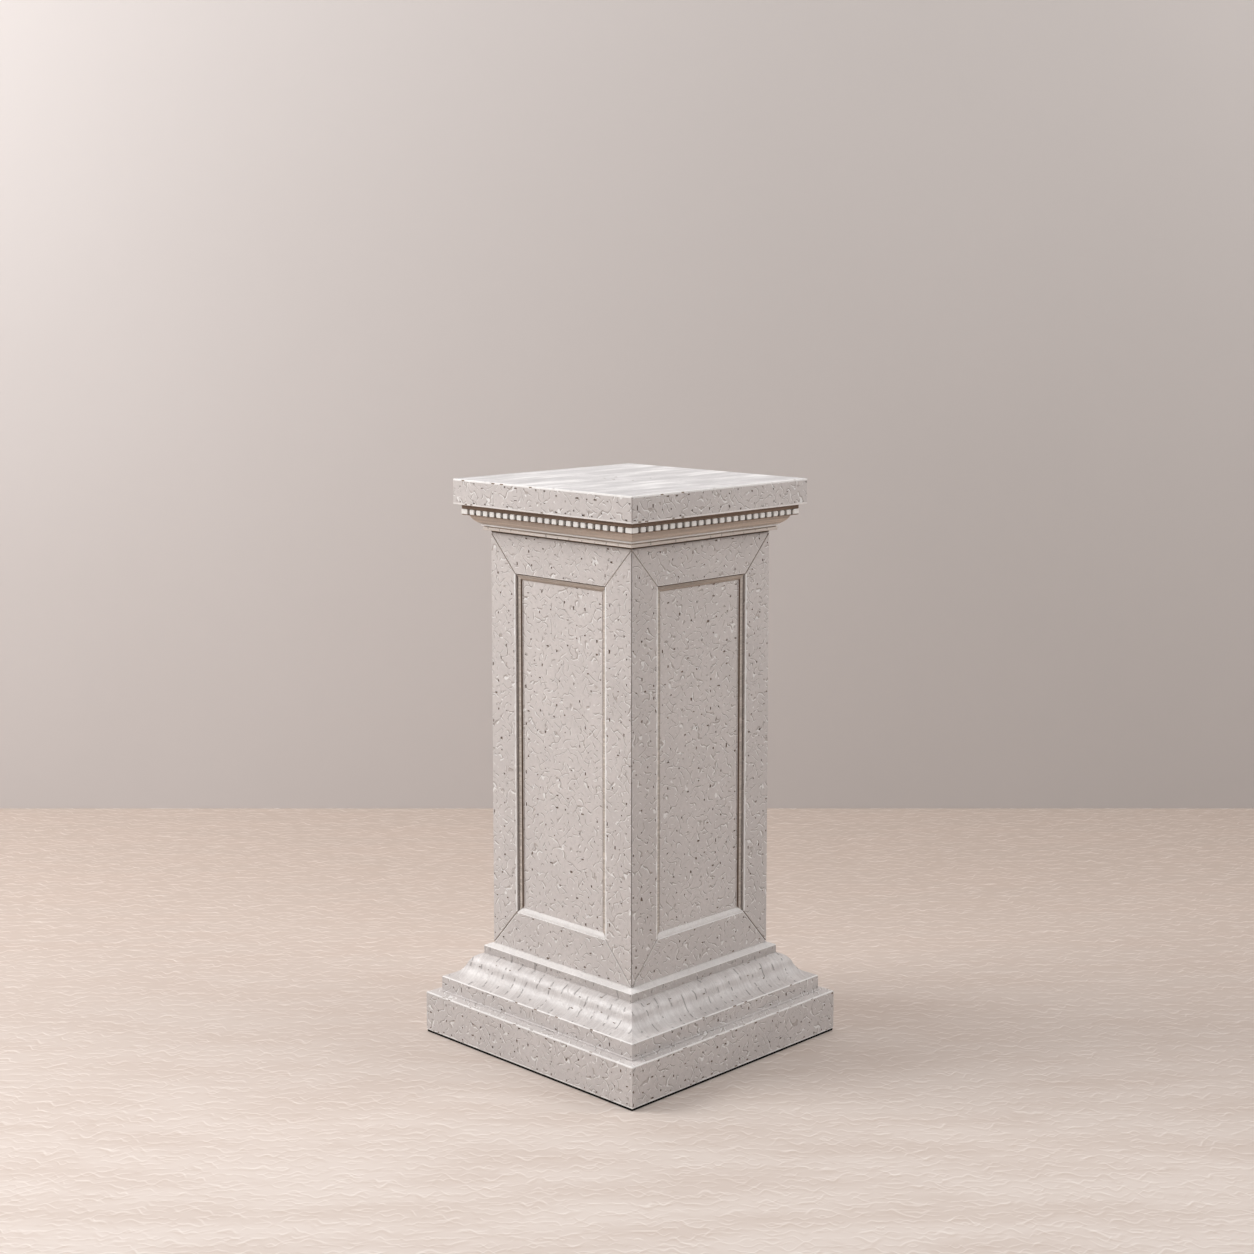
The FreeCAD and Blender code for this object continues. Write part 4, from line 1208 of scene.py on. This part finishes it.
def wall_paint():
    """A plain wall, painted darker towards the right, a painted shade of the light falling off. A ray that
    meets its back goes straight through.
    """
    r = Recipe("wall", (0.56, 0.505, 0.475), 0.9)
    cloud = r.noise(0.9, 3.0, 0.5)
    across = r.node("ShaderNodeSeparateXYZ", Vector=r.place).outputs[0]
    # Painted shade: the wall is painted darker towards the right, where the light falls off.
    tint = r.mix(r.mask(across, -1.5, 1.4), (0.635, 0.592, 0.575), (0.535, 0.495, 0.475))
    tint = r.mix(r.mask(cloud, 0.3, 0.7, 0.0, 0.3), tint, (0.585, 0.54, 0.52))
    r.feed(r.shader.inputs["Base Color"], tint)
    see_through = r.node("ShaderNodeBsdfTransparent")
    sides = r.node("ShaderNodeMixShader")
    on_back = r.node("ShaderNodeNewGeometry").outputs["Backfacing"]
    for socket, value in zip(sides.inputs, (on_back, r.shader.outputs[0], see_through.outputs[0])):
        r.feed(socket, value)
    r.feed(r.tree.nodes["Material Output"].inputs["Surface"], sides.outputs[0])
    return r.material


print("waves on the floor:", len(WAVES), "rows")

# %% Floor and wall
WALL_BEHIND, FLOOR_SIZE = 1.584, 16.0


def plane(name, material, location, rotation=(0, 0, 0)):
    bpy.ops.mesh.primitive_plane_add(size=FLOOR_SIZE, location=location, rotation=rotation)
    made = bpy.context.object
    made.name = name
    made.data.materials.append(material)
    return made


close_editing()
floor = plane("floor", floor_stone(), (0, 0, stand_low.z))
heading = Vector((-math.sin(CAMERA_HEADING), math.cos(CAMERA_HEADING), 0))
wall = plane("wall", wall_paint(), heading * WALL_BEHIND + Vector((0, 0, FLOOR_SIZE / 2)),
             (math.pi / 2, 0, CAMERA_HEADING))
print("wall stands", WALL_BEHIND, "m behind the stand")

# %% [markdown]
# ## The light
#
# The photograph is lit softly: the left face is the brighter, and the shadows under the mouldings are
# soft. A large lamp high on the left does most of that. A weaker one stands behind on the right, and one
# hangs over the slab. A grey world fills the rest, and it is darker on the camera's side so that the two
# near faces keep their shape. The view is the standard one, and a colour shows about as it is written.

# %% Lamps and world
def soft_lamp(name, place, aim, size, power):
    lamp = bpy.data.lights.new(name, "AREA")
    lamp.shape, lamp.size, lamp.size_y, lamp.energy = "RECTANGLE", size[0], size[1], power
    holder = bpy.data.objects.new(name, lamp)
    bpy.context.scene.collection.objects.link(holder)
    holder.location = place
    holder.rotation_euler = (Vector(aim) - Vector(place)).to_track_quat("-Z", "Y").to_euler()
    print(name, "of", power, "W")


soft_lamp("left_lamp", (-2.5, -2.4, 2.9), (0, 0, 0.55), (2.2, 2.2), 158)
soft_lamp("right_lamp", (2.5, 2.2, 2.9), (0, 0, 0.55), (2.2, 2.2), 75)
soft_lamp("top_lamp", (-0.3, 0.1, 4.2), (0, 0, 0.6), (2.6, 2.6), 48)

world = bpy.data.worlds.new("studio")
world.use_nodes = True
bpy.context.scene.world = world
air = world.node_tree
way = air.nodes.new("ShaderNodeTexCoord")
towards = air.nodes.new("ShaderNodeVectorMath")
towards.operation = "DOT_PRODUCT"
air.links.new(way.outputs["Generated"], towards.inputs[0])
towards.inputs[1].default_value = (*around, 0)
fade = air.nodes.new("ShaderNodeMapRange")
air.links.new(towards.outputs["Value"], fade.inputs["Value"])
for socket, value in (("From Min", -0.2), ("From Max", 0.9), ("To Min", 0.44), ("To Max", 0.20)):
    fade.inputs[socket].default_value = value
background = air.nodes["Background"]
background.inputs["Color"].default_value = (0.80, 0.79, 0.80, 1.0)
air.links.new(fade.outputs["Result"], background.inputs["Strength"])

bpy.context.scene.view_settings.view_transform = "Standard"
